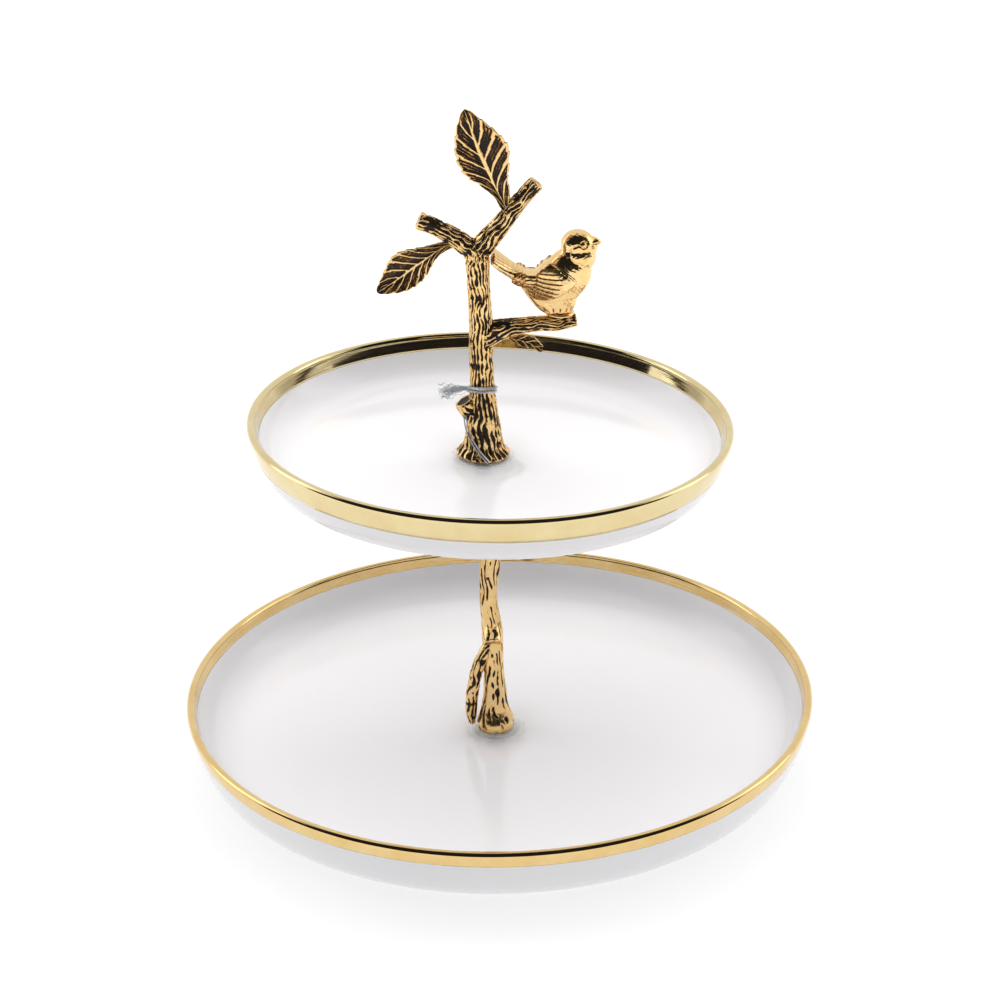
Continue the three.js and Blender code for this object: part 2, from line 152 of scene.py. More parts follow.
def mix(tree, factor, a, b, blend="MIX"):
    made = node(tree, "ShaderNodeMix", data_type="RGBA", blend_type=blend)
    for key, value in ((0, factor), (6, a), (7, b)):
        if isinstance(value, bpy.types.NodeSocket):
            tree.links.new(value, made.inputs[key])
        else:
            made.inputs[key].default_value = value if key == 0 or len(value) == 4 else (*value, 1)
    return made.outputs[2]


def maths(tree, operation, a, b=0.0):
    made = node(tree, "ShaderNodeMath", operation=operation)
    for key, value in ((0, a), (1, b)):
        if isinstance(value, bpy.types.NodeSocket):
            tree.links.new(value, made.inputs[key])
        else:
            made.inputs[key].default_value = value
    return made.outputs[0]


def bump(tree, height, strength, distance):
    made = node(tree, "ShaderNodeBump", {"Height": height, "Strength": strength, "Distance": distance})
    return made.outputs["Normal"]


def local(tree):
    return node(tree, "ShaderNodeTexCoord").outputs["Object"]


def link(tree, source, target):
    tree.links.new(source, target)


# ---------------------------------------------------------------- materials


def porcelain():
    """White glaze: faint cream and grey drift, orange-peel waviness and a few pinholes; the foot
    ring's bare biscuit face is duller and a little warmer."""
    material, tree, out = shader("glazed_porcelain", Specular_IOR_Level=0.38, IOR=1.5,
                                 Coat_Weight=0.2, Coat_Roughness=0.08)
    place = local(tree)
    drift = noise(tree, place, 9.0, 2.0)
    body = ramp(tree, drift, [(0.3, (0.858, 0.846, 0.862)), (0.7, (0.892, 0.882, 0.894))])
    specks = noise(tree, place, 900.0, 1.0)
    pits = level(tree, specks, 0.79, 0.83, 0.0, 1.0)
    glaze = mix(tree, maths(tree, "MULTIPLY", pits, 0.25), body, (0.62, 0.58, 0.53))
    height = node(tree, "ShaderNodeSeparateXYZ", {"Vector": place}).outputs["Z"]
    bare = level(tree, height, 0.0002, 0.0009, 1.0, 0.0)
    link(tree, mix(tree, bare, glaze, (0.72, 0.69, 0.64)), out.inputs["Base Color"])
    wave = noise(tree, place, 38.0, 2.0)
    rough = level(tree, wave, 0.35, 0.7, 0.11, 0.18)
    link(tree, mix(tree, bare, rough, (0.65, 0.65, 0.65)), out.inputs["Roughness"])
    link(tree, bump(tree, wave, 0.05, 0.0006), out.inputs["Normal"])
    return material


def fired_gold(name, colour, paler):
    """Bright gold fired on the lip: brush-laid, so its tone and gloss drift round the band."""
    material, tree, out = shader(name, Metallic=1.0)
    place = local(tree)
    wash = noise(tree, place, 60.0, 4.0, 0.6)
    link(tree, mix(tree, level(tree, wash, 0.3, 0.7, 0.0, 1.0), colour, paler), out.inputs["Base Color"])
    streak = noise(tree, node(tree, "ShaderNodeMapping", {"Vector": place, "Scale": (60, 60, 900)})
                   .outputs["Vector"], 1.0, 3.0)
    link(tree, level(tree, streak, 0.3, 0.75, 0.05, 0.13), out.inputs["Roughness"])
    link(tree, bump(tree, streak, 0.1, 0.0002), out.inputs["Normal"])
    return material


def cast_gold(name, dark_reach=1.0):
    """Antique gold casting. The mesh's recess attribute, 0 on ridges and 1 in grooves, drives the
    dark patina, broken up by noise; ridges are rubbed bright."""
    material, tree, out = shader(name)
    place = local(tree)
    recess = node(tree, "ShaderNodeAttribute", attribute_name="recess").outputs["Fac"]
    grain = noise(tree, place, 900.0, 4.0, 0.65)
    blotch = noise(tree, place, 190.0, 3.0, 0.55)
    shift = maths(tree, "ADD", level(tree, grain, 0.25, 0.75, -0.16, 0.16),
                  level(tree, blotch, 0.3, 0.7, -0.14, 0.14))
    depth = maths(tree, "ADD", maths(tree, "MULTIPLY", recess, dark_reach), shift)
    gold = ramp(tree, blotch, [(0.25, (0.90, 0.60, 0.235)), (0.5, (0.93, 0.66, 0.30)),
                               (0.75, (0.95, 0.70, 0.37))])
    stain = ramp(tree, depth, [(0.0, (1, 1, 1)), (0.34, (0.93, 0.86, 0.78)), (0.47, (0.60, 0.33, 0.14)),
                               (0.57, (0.10, 0.055, 0.026)), (0.72, (0.013, 0.010, 0.009))])
    link(tree, mix(tree, 1.0, gold, stain, "MULTIPLY"), out.inputs["Base Color"])
    link(tree, level(tree, depth, 0.35, 0.75, 1.0, 0.35), out.inputs["Metallic"])
    gloss = maths(tree, "ADD", level(tree, depth, 0.2, 0.8, 0.2, 0.52), level(tree, grain, 0.3, 0.7, -0.04, 0.06))
    link(tree, gloss, out.inputs["Roughness"])
    link(tree, bump(tree, grain, 0.25, 0.0003), out.inputs["Normal"])
    return material


def bright_gold():
    """Polished gold casting, with a little warm patina left in the feather lines."""
    material, tree, out = shader("polished_gold")
    place = local(tree)
    recess = node(tree, "ShaderNodeAttribute", attribute_name="recess").outputs["Fac"]
    grain = noise(tree, place, 700.0, 4.0, 0.6)
    cloud = noise(tree, place, 120.0, 3.0)
    depth = maths(tree, "ADD", recess, level(tree, grain, 0.3, 0.7, -0.12, 0.12))
    gold = ramp(tree, cloud, [(0.3, (0.93, 0.62, 0.25)), (0.7, (0.96, 0.70, 0.36))])
    stain = ramp(tree, depth, [(0.0, (1, 1, 1)), (0.45, (0.92, 0.84, 0.74)), (0.75, (0.42, 0.24, 0.10)),
                               (1.0, (0.10, 0.055, 0.025))])
    link(tree, mix(tree, 1.0, gold, stain, "MULTIPLY"), out.inputs["Base Color"])
    link(tree, level(tree, depth, 0.6, 1.0, 1.0, 0.6), out.inputs["Metallic"])
    link(tree, level(tree, maths(tree, "ADD", depth, grain), 0.3, 1.4, 0.12, 0.34), out.inputs["Roughness"])
    link(tree, bump(tree, grain, 0.12, 0.0002), out.inputs["Normal"])
    return material


def clear_plastic():
    """Clear washer plastic, clouded towards its hole by the recess attribute, which on the washers runs from 0 at the
    rim to 1 at the hole: painted light, a pale cover laid over the dark hole and the shade under the foot that would
    show through.
    """
    material, tree, out = shader("clear_plastic", IOR=1.46, Alpha=0.12)
    place = local(tree)
    haze = noise(tree, place, 260.0, 4.0, 0.6)
    link(tree, ramp(tree, haze, [(0.3, (0.80, 0.83, 0.83)), (0.7, (0.92, 0.93, 0.93))]), out.inputs["Base Color"])
    scuffs = noise(tree, place, 1500.0, 3.0)
    link(tree, level(tree, scuffs, 0.4, 0.8, 0.04, 0.22), out.inputs["Roughness"])
    edge = node(tree, "ShaderNodeLayerWeight", {"Blend": 0.35}).outputs["Facing"]
    # Painted light: the washer turns opaque pale grey towards its hole, covering the dark hole and the shade under the
    # foot.
    painted_light_over_hole = level(tree, node(tree, "ShaderNodeAttribute", attribute_name="recess").outputs["Fac"], 0.15, 0.7, 0.0, 0.8)
    link(tree, maths(tree, "MAXIMUM", level(tree, edge, 0.3, 0.95, 0.06, 0.5), painted_light_over_hole), out.inputs["Alpha"])
    link(tree, bump(tree, haze, 0.05, 0.0002), out.inputs["Normal"])
    return material


def zinc_steel():
    material, tree, out = shader("zinc_plated_steel", Metallic=1.0)
    place = local(tree)
    spangle = node(tree, "ShaderNodeTexVoronoi", {"Vector": place, "Scale": 900.0}).outputs["Color"]
    shade = noise(tree, place, 400.0, 4.0)
    link(tree, ramp(tree, shade, [(0.3, (0.50, 0.51, 0.53)), (0.7, (0.70, 0.71, 0.73))]), out.inputs["Base Color"])
    tone = node(tree, "ShaderNodeSeparateColor", {"Color": spangle}).outputs["Red"]
    link(tree, level(tree, tone, 0.0, 1.0, 0.22, 0.40), out.inputs["Roughness"])
    link(tree, bump(tree, shade, 0.2, 0.0002), out.inputs["Normal"])
    return material


def black_rubber():
    material, tree, out = shader("matt_rubber")
    place = local(tree)
    grain = noise(tree, place, 1600.0, 4.0, 0.7)
    bloom = noise(tree, place, 150.0, 3.0)
    link(tree, ramp(tree, bloom, [(0.3, (0.022, 0.022, 0.024)), (0.75, (0.055, 0.054, 0.053))]),
         out.inputs["Base Color"])
    link(tree, level(tree, grain, 0.3, 0.7, 0.6, 0.85), out.inputs["Roughness"])
    link(tree, bump(tree, grain, 0.4, 0.0003), out.inputs["Normal"])
    return material


def tinsel():
    """Metallised thread: flat foil strands that flash light and dark along the twist, as painted highlights and shade
    in the base colour; the same noise also sets metallic and roughness.
    """
    material, tree, out = shader("metallised_thread")
    place = local(tree)
    flash = noise(tree, place, 1400.0, 3.0, 0.7)
    # Painted highlights and shade: the foil's light and dark flashes are set in the base colour.
    link(tree, ramp(tree, flash, [(0.3, (0.34, 0.35, 0.38)), (0.46, (0.70, 0.72, 0.76)),
                                  (0.62, (0.95, 0.96, 0.98))]), out.inputs["Base Color"])
    link(tree, level(tree, flash, 0.3, 0.7, 0.35, 0.8), out.inputs["Metallic"])
    link(tree, level(tree, flash, 0.3, 0.7, 0.5, 0.25), out.inputs["Roughness"])
    link(tree, bump(tree, flash, 0.5, 0.0003), out.inputs["Normal"])
    return material


PORCELAIN = porcelain()
LOWER_GOLD = fired_gold("lower_fired_gold", (0.76, 0.52, 0.20), (0.83, 0.62, 0.30))
UPPER_GOLD = fired_gold("upper_fired_gold", (0.74, 0.59, 0.30), (0.80, 0.67, 0.38))
CAST_GOLD = cast_gold("antique_cast_gold")
BIRD_GOLD = bright_gold()
CLEAR = clear_plastic()
STEEL = zinc_steel()
RUBBER = black_rubber()
TINSEL = tinsel()

# ---------------------------------------------------------------- mesh helpers


def grid_faces(rows, columns, wrap_rows=False, wrap_columns=True, start=0):
    i, j = np.meshgrid(np.arange(rows if wrap_rows else rows - 1),
                       np.arange(columns if wrap_columns else columns - 1), indexing="ij")
    near, far = i * columns, (i + 1) % rows * columns
    step = (j + 1) % columns
    return (np.stack([near + j, near + step, far + step, far + j], -1).reshape(-1, 4) + start).tolist()


def piece(name, points, faces, material, body, slot, cad=(), at=None, recess=None):
    """A smooth-shaded mesh piece from points in mm in the frame at, riding on a body."""
    points = np.asarray(points, float).reshape(-1, 3) * MM
    if at is not None:
        place = np.array(at)
        points = points @ place[:3, :3].T + place[:3, 3]
    mesh = bpy.data.meshes.new(name)
    mesh.from_pydata(points.tolist(), [], faces)
    mesh.update()
    mesh.shade_smooth()
    if recess is not None:
        mesh.attributes.new("recess", "FLOAT", "POINT").data.foreach_set(
            "value", np.clip(np.ravel(recess), 0, 1).astype(np.float32))
    mesh.materials.append(material)
    made = bpy.data.objects.new(name, mesh)
    bpy.context.scene.collection.objects.link(made)
    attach(made, body)
    if cad:
        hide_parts(*cad)
    return made


def smoothstep(low, high, value):
    t = np.clip((value - low) / (high - low), 0, 1)
    return t * t * (3 - 2 * t)


def spline(rows, count):
    """Catmull-Rom through rows of numbers, sampled at count even steps of its first three columns' length."""
    rows = np.asarray(rows, float)
    padded = np.vstack([2 * rows[0] - rows[1], rows, 2 * rows[-1] - rows[-2]])
    fine = []
    for k in range(len(rows) - 1):
        a, b, c, d = padded[k:k + 4]
        t = np.linspace(0, 1, 40, endpoint=False)[:, None]
        fine.append(0.5 * (2 * b + (c - a) * t + (2 * a - 5 * b + 4 * c - d) * t ** 2
                           + (3 * b - a - 3 * c + d) * t ** 3))
    fine = np.vstack(fine + [rows[-1:]])
    length = np.r_[0, np.cumsum(np.linalg.norm(np.diff(fine[:, :3], axis=0), axis=1))]
    even = np.linspace(0, length[-1], count)
    return np.column_stack([np.interp(even, length, column) for column in fine.T]), even


def transport(centres, first=(0.0, -1.0, 0.0)):
    """Twist-free side vectors along a line of centres: tangents, sides and binormals."""
    tangents = np.gradient(centres, axis=0)
    tangents /= np.linalg.norm(tangents, axis=1)[:, None]
    side = np.array(first)
    sides = []
    for tangent in tangents:
        side = side - tangent * side.dot(tangent)
        side /= np.linalg.norm(side)
        sides.append(side)
    sides = np.array(sides)
    return tangents, sides, np.cross(tangents, sides)


def revolve(name, outline, sides, *where, **more):
    """A closed outline of (radius, height) turned about Z."""
    outline = np.asarray(outline, float)
    angle = np.linspace(0, 2 * math.pi, sides, endpoint=False)
    points = np.stack([outline[:, :1] * np.cos(angle), outline[:, :1] * np.sin(angle),
                       np.repeat(outline[:, 1:], sides, axis=1)], -1)
    return piece(name, points, grid_faces(len(outline), sides, wrap_rows=True), *where, **more)


def ripple(angle, seed, waves=(2, 3, 5, 8, 13, 21)):
    """A smooth random function of an angle, about -1 to 1, that closes on itself."""
    draw = np.random.default_rng(seed)
    total = np.zeros_like(angle)
    for wave in waves:
        total += np.sin(angle * wave + draw.uniform(0, 6.283)) / math.sqrt(wave)
    return total / 1.6


# ---------------------------------------------------------------- dishes

LIP_WIDTH = 3.25
WALL_LEAN = 2.2
BAND_PROUD = 0.06
BAND_BACK = 0.25
DISH_SIDES = 256

LOWER = {"rim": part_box("lower_gold_rim")[1].x / MM, "depth": (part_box("lower_gold_rim")[1].z - LOWER_FLOOR) / MM,
         "base": 4.5, "foot": LOWER_FLOOR / MM - 4.5, "foot_radius": 84.0, "foot_width": 5.0,
         "band_outer": 6.2, "band_inner": 5.2, "flare": 17.0, "belly": 6.0, "shoulder": 2.5, "floor_run": 20.0,
         "hole": 5.2}
UPPER = {"rim": 96.6, "depth": 17.0, "base": 4.5, "foot": 4.0, "foot_radius": 58.0, "foot_width": 4.0,
         "band_outer": 10.1, "band_inner": 6.3, "flare": 15.0, "belly": 5.0, "shoulder": 3.0, "floor_run": 18.0,
         "hole": 6.0}


def bezier(corners, t):
    a, b, c, d = np.asarray(corners, float)
    t = np.asarray(t)[:, None]
    return a * (1 - t) ** 3 + 3 * b * (1 - t) ** 2 * t + 3 * c * (1 - t) * t ** 2 + d * t ** 3


def dish_skin(dish):
    """The glazed section from under the dish, up the outer wall, over the lip and in to the hole."""
    turn = dish["depth"] - LIP_WIDTH / 2
    inside = dish["rim"] - LIP_WIDTH
    outer = bezier([(dish["rim"] - dish["flare"], -dish["base"]), (dish["rim"] - dish["belly"], -dish["base"]),
                    (dish["rim"] - dish["shoulder"], dish["depth"] * 0.3), (dish["rim"], turn)],
                   np.linspace(0, 1, 28))
    angle = np.linspace(0, math.pi, 13)[1:-1]
    lip = np.column_stack([dish["rim"] - LIP_WIDTH / 2 * (1 - np.cos(angle)),
                           turn + LIP_WIDTH / 2 * np.sin(angle)])
    inner = bezier([(inside, turn), (inside - WALL_LEAN, dish["depth"] * 0.45), (inside - WALL_LEAN * 2, 0),
                    (inside - dish["floor_run"], 0)], np.linspace(0, 1, 28))
    return outer, lip, inner


def dish_outline(dish):
    outer, lip, inner = dish_skin(dish)
    foot_in = dish["foot_radius"] - dish["foot_width"] / 2
    foot_out = dish["foot_radius"] + dish["foot_width"] / 2
    low = -dish["base"] - dish["foot"]
    soft = 0.7
    hole = dish["hole"]
    under = [(hole + soft, -dish["base"]), (foot_in - 3, -dish["base"]), (foot_in - 1.2, -dish["base"] - 0.5),
             (foot_in - 0.3, low + soft * 1.4), (foot_in, low + soft / 2), (foot_in + soft, low),
             (foot_out - soft, low), (foot_out, low + soft / 2), (foot_out + 0.3, low + soft * 1.4),
             (foot_out + 1.2, -dish["base"] - 0.5), (foot_out + 3, -dish["base"])]
    floor = [(60.0, 0.0), (30.0, 0.0), (hole + soft, 0.0), (hole, -soft), (hole, soft - dish["base"])]
    return np.vstack([under, outer, lip, inner, floor])


def make_dish(name, dish, at, body):
    revolve(name, dish_outline(dish), DISH_SIDES, PORCELAIN, body, "porcelain", cad=[name], at=at)


def make_band(name, cad, dish, at, body, material, seed):
    """The fired gold: a skin over the lip whose two brushed edges waver a little."""
    outer, lip, inner = dish_skin(dish)
    low_out = dish["depth"] - dish["band_outer"]
    low_in = dish["depth"] - dish["band_inner"]
    wall = np.array([(np.interp(z, outer[:, 1], outer[:, 0]), z)
                     for z in np.linspace(low_out, outer[-1, 1], 9)[:-1]])
    well = np.array([(np.interp(z, inner[::-1, 1], inner[::-1, 0]), z)
                     for z in np.linspace(inner[0, 1], low_in, 8)[1:]])
    skin = np.vstack([wall, outer[-1:], lip, inner[:1], well])
    along = np.gradient(skin, axis=0)
    along /= np.linalg.norm(along, axis=1)[:, None]
    normal = np.column_stack([along[:, 1], -along[:, 0]])
    section = np.vstack([skin + normal * BAND_PROUD, (skin - normal * BAND_BACK)[::-1]])
    section[0] -= normal[0] * BAND_PROUD / 2
    section[len(skin) - 1] -= normal[-1] * BAND_PROUD / 2
    angle = np.linspace(0, 2 * math.pi, DISH_SIDES, endpoint=False)
    points = np.stack([section[:, :1] * np.cos(angle), section[:, :1] * np.sin(angle),
                       np.repeat(section[:, 1:], DISH_SIDES, axis=1)], -1)
    hold = smoothstep(0.0, 0.5, (section[:, 1] - min(low_out, low_in)) / dish["band_inner"])
    points[:, :, 2] += (1 - hold)[:, None] * 0.12 * ripple(angle, seed, (3, 7, 12, 19, 31))[None, :]
    piece(name, points, grid_faces(len(section), DISH_SIDES, wrap_rows=True), material, body, "rim_gold",
          cad=[cad], at=at)


make_dish("lower_plate", LOWER, LOWER_DISH, "lower_dish")
make_band("lower_band", "lower_gold_rim", LOWER, LOWER_DISH, "lower_dish", LOWER_GOLD, 11)
make_dish("upper_plate", UPPER, UPPER_DISH, "upper_dish")
make_band("upper_band", "upper_gold_rim", UPPER, UPPER_DISH, "upper_dish", UPPER_GOLD, 12)

# ---------------------------------------------------------------- bark

BARK_STEP = 0.27


def wander(u, v, around, seed):
    """Smooth random values 0 to 1 on a grid that closes after around columns."""
    draw = np.random.default_rng(seed)
    rows = int(np.ceil(v.max())) + 4
    knots = draw.uniform(0, 1, (rows, around))
    u, v = u % around, v + 1
    column, row = np.floor(u).astype(int), np.floor(v).astype(int)
    across, up = u - column, v - row
    across, up = across * across * (3 - 2 * across), up * up * (3 - 2 * up)
    below = knots[row, column % around] * (1 - across) + knots[row, (column + 1) % around] * across
    above = knots[row + 1, column % around] * (1 - across) + knots[row + 1, (column + 1) % around] * across
    return below * (1 - up) + above * up


def bark(angle, along, look):
    """Height 0 to 1 and recess 0 to 1 of cast bark: wavy upright ridges that part round long dark slits."""
    around, seed = look["around"], look["seed"]
    share = angle / (2 * math.pi)
    v = along / look["length"]
    sway = (wander(share * 4, v * 0.8, 4, seed) - 0.5) * 1.3
    sway += (wander(share * 9, v * 1.4, 9, seed + 1) - 0.5) * 0.6
    sway += (wander(share * 17, v * 2.4, 17, seed + 2) - 0.5) * 0.35
    wave = 0.5 + 0.5 * np.cos(2 * math.pi * (share * around + sway))
    patch = wander(share * around + sway + 0.5, v * 2.4, around, seed + 3) - 0.5
    patch += 0.35 * (wander(share * around * 2, v * 4.7, around * 2, seed + 6) - 0.5)
    blot = wander(share * 3, v * 0.8, 3, seed + 4) - 0.5
    bald = look.get("bald", 0.0) * smoothstep(0.1, 0.85, np.cos(angle))
    threshold = look.get("dark", 0.5) + look.get("broken", 1.15) * patch + 0.18 * blot - bald
    height = smoothstep(threshold - 0.26, threshold + 0.26, wave)
    fine = wander(share * around * 3, v * 7, around * 3, seed + 5)
    recess = 1.12 * (1 - height) + 0.22 * (fine - 0.6)
    for at_angle, at_length, half_width, half_length in look.get("spots", ()):
        swing = (angle - at_angle + math.pi) % (2 * math.pi) - math.pi
        reach = np.hypot(swing * look["girth"] / half_width, (along - at_length) / half_length)
        spot = smoothstep(1.15, 0.6, reach + 0.35 * (fine - 0.5))
        height = height - 0.9 * spot
        recess = np.maximum(recess, spot * (0.75 + 0.3 * fine))
    return height + 0.12 * fine, np.clip(recess, 0, 1)


def limb(name, stations, look, cad, body, at, sides=None, first=(0.0, -1.0, 0.0)):
    """A bark-covered casting through stations (x, y, z, radius) in mm, with closed worn ends."""
    total = spline(stations, 60)[1][-1]
    rows, along = spline(stations, max(24, int(total / BARK_STEP)))
    radius = rows[:, 3]
    sides = sides or int(np.clip(2 * math.pi * radius.max() / BARK_STEP, 60, 200))
    tangents, side, binormal = transport(rows[:, :3], first)
    angle = np.linspace(0, 2 * math.pi, sides, endpoint=False)
    theta, s = np.meshgrid(angle, along)
    height, recess = bark(theta, s, look)
    lump = ripple(theta + s * 0.02, look["seed"] + 5, (1, 2, 3)) * np.sin(s / 5.5 + look["seed"])
    calm = np.ones(len(along))
    for end, key in ((s[:, 0], "calm_start"), (along[-1] - s[:, 0], "calm_end")):
        calm *= smoothstep(0, look.get(key, 0.8), end) * 0.85 + 0.15
    relief = look["relief"] * (height - 0.75) * calm[:, None] + look.get("lumps", 0.25) * lump * calm[:, None]
    reach = radius[:, None] + relief
    ring = (np.cos(theta)[..., None] * side[:, None] + np.sin(theta)[..., None] * binormal[:, None])
    points = rows[:, None, :3] + ring * reach[..., None]
    recess = recess * (0.25 + 0.75 * calm[:, None])
    worn = look.get("cap_dark", 0.4)
    hollow = look.get("cap_hollow", 0.0)
    caps = [(0.95, 0.30, 0.05), (0.84, 0.40, 0.1), (0.74, 0.34 - hollow * 0.4, worn * 0.7),
            (0.56, 0.30 - hollow * 0.8, worn), (0.38, 0.31 - hollow, worn), (0.2, 0.29 - hollow, worn),
            (0.004, 0.30 - hollow, worn)]
    flat = look.get("flat_start", False)

    def cap(index, sign, plain):
        shells, depths = [], []
        for factor, push, dark in caps:
            push = 0.0 if plain else push * min(1.0, radius[index] / 3)
            centre = rows[index, :3] + tangents[index] * sign * push
            shells.append(centre + (points[index] - rows[index, :3]) * factor)
            depths.append(np.full(sides, 0.2) if plain else dark + 0.25 * ripple(angle + factor, look["seed"]))
        return np.array(shells), np.array(depths)

    start, start_depth = cap(0, -1, flat)
    end, end_depth = cap(-1, 1, False)
    points = np.concatenate([start[::-1], points, end])
    recess = np.concatenate([start_depth[::-1], recess, end_depth])
    return piece(name, points, grid_faces(len(points), sides), CAST_GOLD, body, "patina_gold",
                 cad=cad, at=at, recess=recess)


# ---------------------------------------------------------------- lower post

CLEAR_HEIGHT = 1.0
SEAT_GAP = 0.3
POST_FOOT = LOWER_FLOOR / MM + CLEAR_HEIGHT + 2 * SEAT_GAP
POST_X = POST_ORIGIN.x / MM
POST_TOP = -UPPER["base"] - 2 * SEAT_GAP - CLEAR_HEIGHT
POST_TOP_HEIGHT = 3.0
POST_SHAPE = [  # share of the way from foot to collar, sideways offset, radius
    (0, 0, 7.4), (0.012, 0, 7.75), (0.03, 0, 7.7), (0.055, 0, 6.6), (0.085, 0.1, 5.5), (0.13, 0.4, 4.8),
    (0.21, 0.4, 4.4), (0.29, 0.5, 4.15), (0.37, 0.3, 4.0), (0.45, 0.1, 3.8), (0.56, 0.2, 3.7), (0.68, 0.6, 4.1),
    (0.82, 0.3, 4.4), (0.93, 0, 5.6), (1, 0, 7.6),
]


def post_stations():
    foot = np.array((POST_X, 0, POST_FOOT))
    top = np.array(TIER @ Vector((0, 0, (POST_TOP - POST_TOP_HEIGHT / 2) * MM))) / MM
    return [(*(foot + (top - foot) * t + (x, 0, 0)), r) for t, x, r in POST_SHAPE]


POST_LOOK = {"around": 13, "length": 6.5, "seed": 3, "relief": 0.5, "lumps": 0.55, "calm_start": 9, "calm_end": 3,
             "flat_start": True, "dark": 0.40, "bald": 0.36, "broken": 1.3, "girth": 5.0,
             "spots": [(0.25, 18.0, 1.3, 2.0), (-0.1, 35.5, 0.7, 0.8), (-0.35, 29.5, 0.6, 1.0), (0.35, 25.0, 0.5, 1.2),
                       (-0.15, 10.5, 0.6, 1.2), (0.1, 57.5, 0.5, 0.7), (-0.2, 71.0, 0.6, 0.6)]}
limb("lower_post", post_stations(), POST_LOOK, ["lower_post"], "post", None)

FLOOR = LOWER_FLOOR / MM
TWIG_LOOK = {"around": 7, "length": 4.2, "seed": 8, "relief": 0.6, "lumps": 0.4, "dark": 0.55}
limb("lower_twig", [
    (POST_X - 0.2, -1.2, FLOOR + 43.5, 2.2), (POST_X - 2.0, -1.9, FLOOR + 40.5, 2.4),
    (POST_X - 4.6, -2.2, FLOOR + 36.4, 2.4), (POST_X - 7.6, -2.2, FLOOR + 29, 2.4),
    (POST_X - 9.5, -1.8, FLOOR + 18, 2.5), (POST_X - 10, -1.4, FLOOR + 9, 2.2),
    (POST_X - 9.8, -1.2, POST_FOOT + 2.4, 1.4)], TWIG_LOOK, ["lower_twig"], "post", None)
KNOT_LOOK = {"around": 11, "length": 5.0, "seed": 21, "relief": 0.4, "lumps": 0.35, "calm_end": 0.6, "dark": 0.36,
             "girth": 3.6, "spots": [(1.45, 5.2, 0.5, 0.6), (1.0, 6.6, 0.35, 0.7), (2.0, 6.4, 0.5, 0.4)], "cap_dark": 0.45, "cap_hollow": 0.3}
limb("lower_knot", [
    (POST_X - 0.9, 1.0, FLOOR + 50.2, 2.6), (POST_X - 0.8, -2.6, FLOOR + 47.2, 3.6),
    (POST_X - 0.6, -5.5, FLOOR + 43.9, 4.0)], KNOT_LOOK, ["lower_knot"], "post", None,
     first=(1.0, 0.0, 0.0))


def post_collar():
    low, high = POST_TOP - POST_TOP_HEIGHT, POST_TOP
    radius, hole, soft = 11.0, 3.2, 0.5
    outline = [(hole, low), (radius - 2.4, low), (radius - 0.8, low + 0.4), (radius, low + 1.2),
               (radius, high - soft), (radius - soft, high), (hole + soft, high), (hole, high - soft)]
    collar = revolve("post_collar", outline, 96, CAST_GOLD, "post", "patina_gold", at=TIER)
    return collar


post_collar()

# ---------------------------------------------------------------- washers and screws


def flat_ring(name, outer, inner, low, high, material, slot, body, cad, at, sides=96, soft=0.15):
    outline = [(inner, low + soft), (inner + soft, low), (outer - soft, low), (outer, low + soft),
               (outer, high - soft), (outer - soft, high), (inner + soft, high), (inner, high - soft)]
    inward = [(outer - radius) / (outer - inner) for radius, _ in outline]
    return revolve(name, outline, sides, material, body, slot, cad=cad, at=at, recess=np.repeat(inward, sides))


SOCKET = 3.2
CLEAR_RADIUS = 12.4
floor_low = LOWER_FLOOR / MM + SEAT_GAP
flat_ring("lower_clear_washer", CLEAR_RADIUS, SOCKET, floor_low, floor_low + CLEAR_HEIGHT, CLEAR, "clear_plastic",
          "post", ["lower_clear_washer"], BASE)
under_top = -UPPER["base"] - SEAT_GAP
flat_ring("under_clear_washer", CLEAR_RADIUS, SOCKET, under_top - CLEAR_HEIGHT, under_top, CLEAR, "clear_plastic",
          "post", ["under_clear_washer"], TIER)
flat_ring("upper_clear_washer", CLEAR_RADIUS, SOCKET, SEAT_GAP, SEAT_GAP + CLEAR_HEIGHT, CLEAR, "clear_plastic",
          "washer", ["upper_clear_washer"], TIER)
gasket_low, gasket_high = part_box("base_gasket")[0].z / MM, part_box("base_gasket")[1].z / MM
flat_ring("base_gasket", 10.5, SOCKET, gasket_low, gasket_high, RUBBER, "rubber", "post", ["base_gasket"], BASE)
steel_low, steel_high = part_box("base_steel_washer")[0].z / MM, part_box("base_steel_washer")[1].z / MM
flat_ring("base_steel_washer", 8.5, SOCKET, steel_low, steel_high, STEEL, "steel", "post", ["base_steel_washer"], BASE)


def thread_rows(low, high, pitch=1.0, crest=3.0, root=2.55, per_turn=10, sides=48):
    """Rows of a helical thread: the crest climbs one pitch in each turn and fades at both ends."""
    heights = np.linspace(low, high, int((high - low) / pitch * per_turn) + 1)
    angle = np.linspace(0, 2 * math.pi, sides, endpoint=False)
    theta, z = np.meshgrid(angle, heights)
    wave = 0.5 + 0.5 * np.cos(2 * math.pi * z / pitch - theta)
    fade = smoothstep(0, pitch, np.minimum(z - low, high - z))
    radius = root + (crest - root) * wave * fade
    return np.stack([radius * np.cos(theta), radius * np.sin(theta), z], -1)


def make_stud():
    low, high = POST_TOP - 9.5, 1.6 + 12
    rows = thread_rows(low, high)
    sides = rows.shape[1]
    tip = [rows[0] * (0.8, 0.8, 1) - (0, 0, 0.0), rows[0] * (0.01, 0.01, 1)]
    top = [rows[-1] * (0.8, 0.8, 1), rows[-1] * (0.01, 0.01, 1)]
    points = np.concatenate([tip[::-1], rows, top])
    piece("handle_stud", points, grid_faces(len(points), sides), STEEL, "handle", "steel", cad=["handle_stud"], at=TIER)


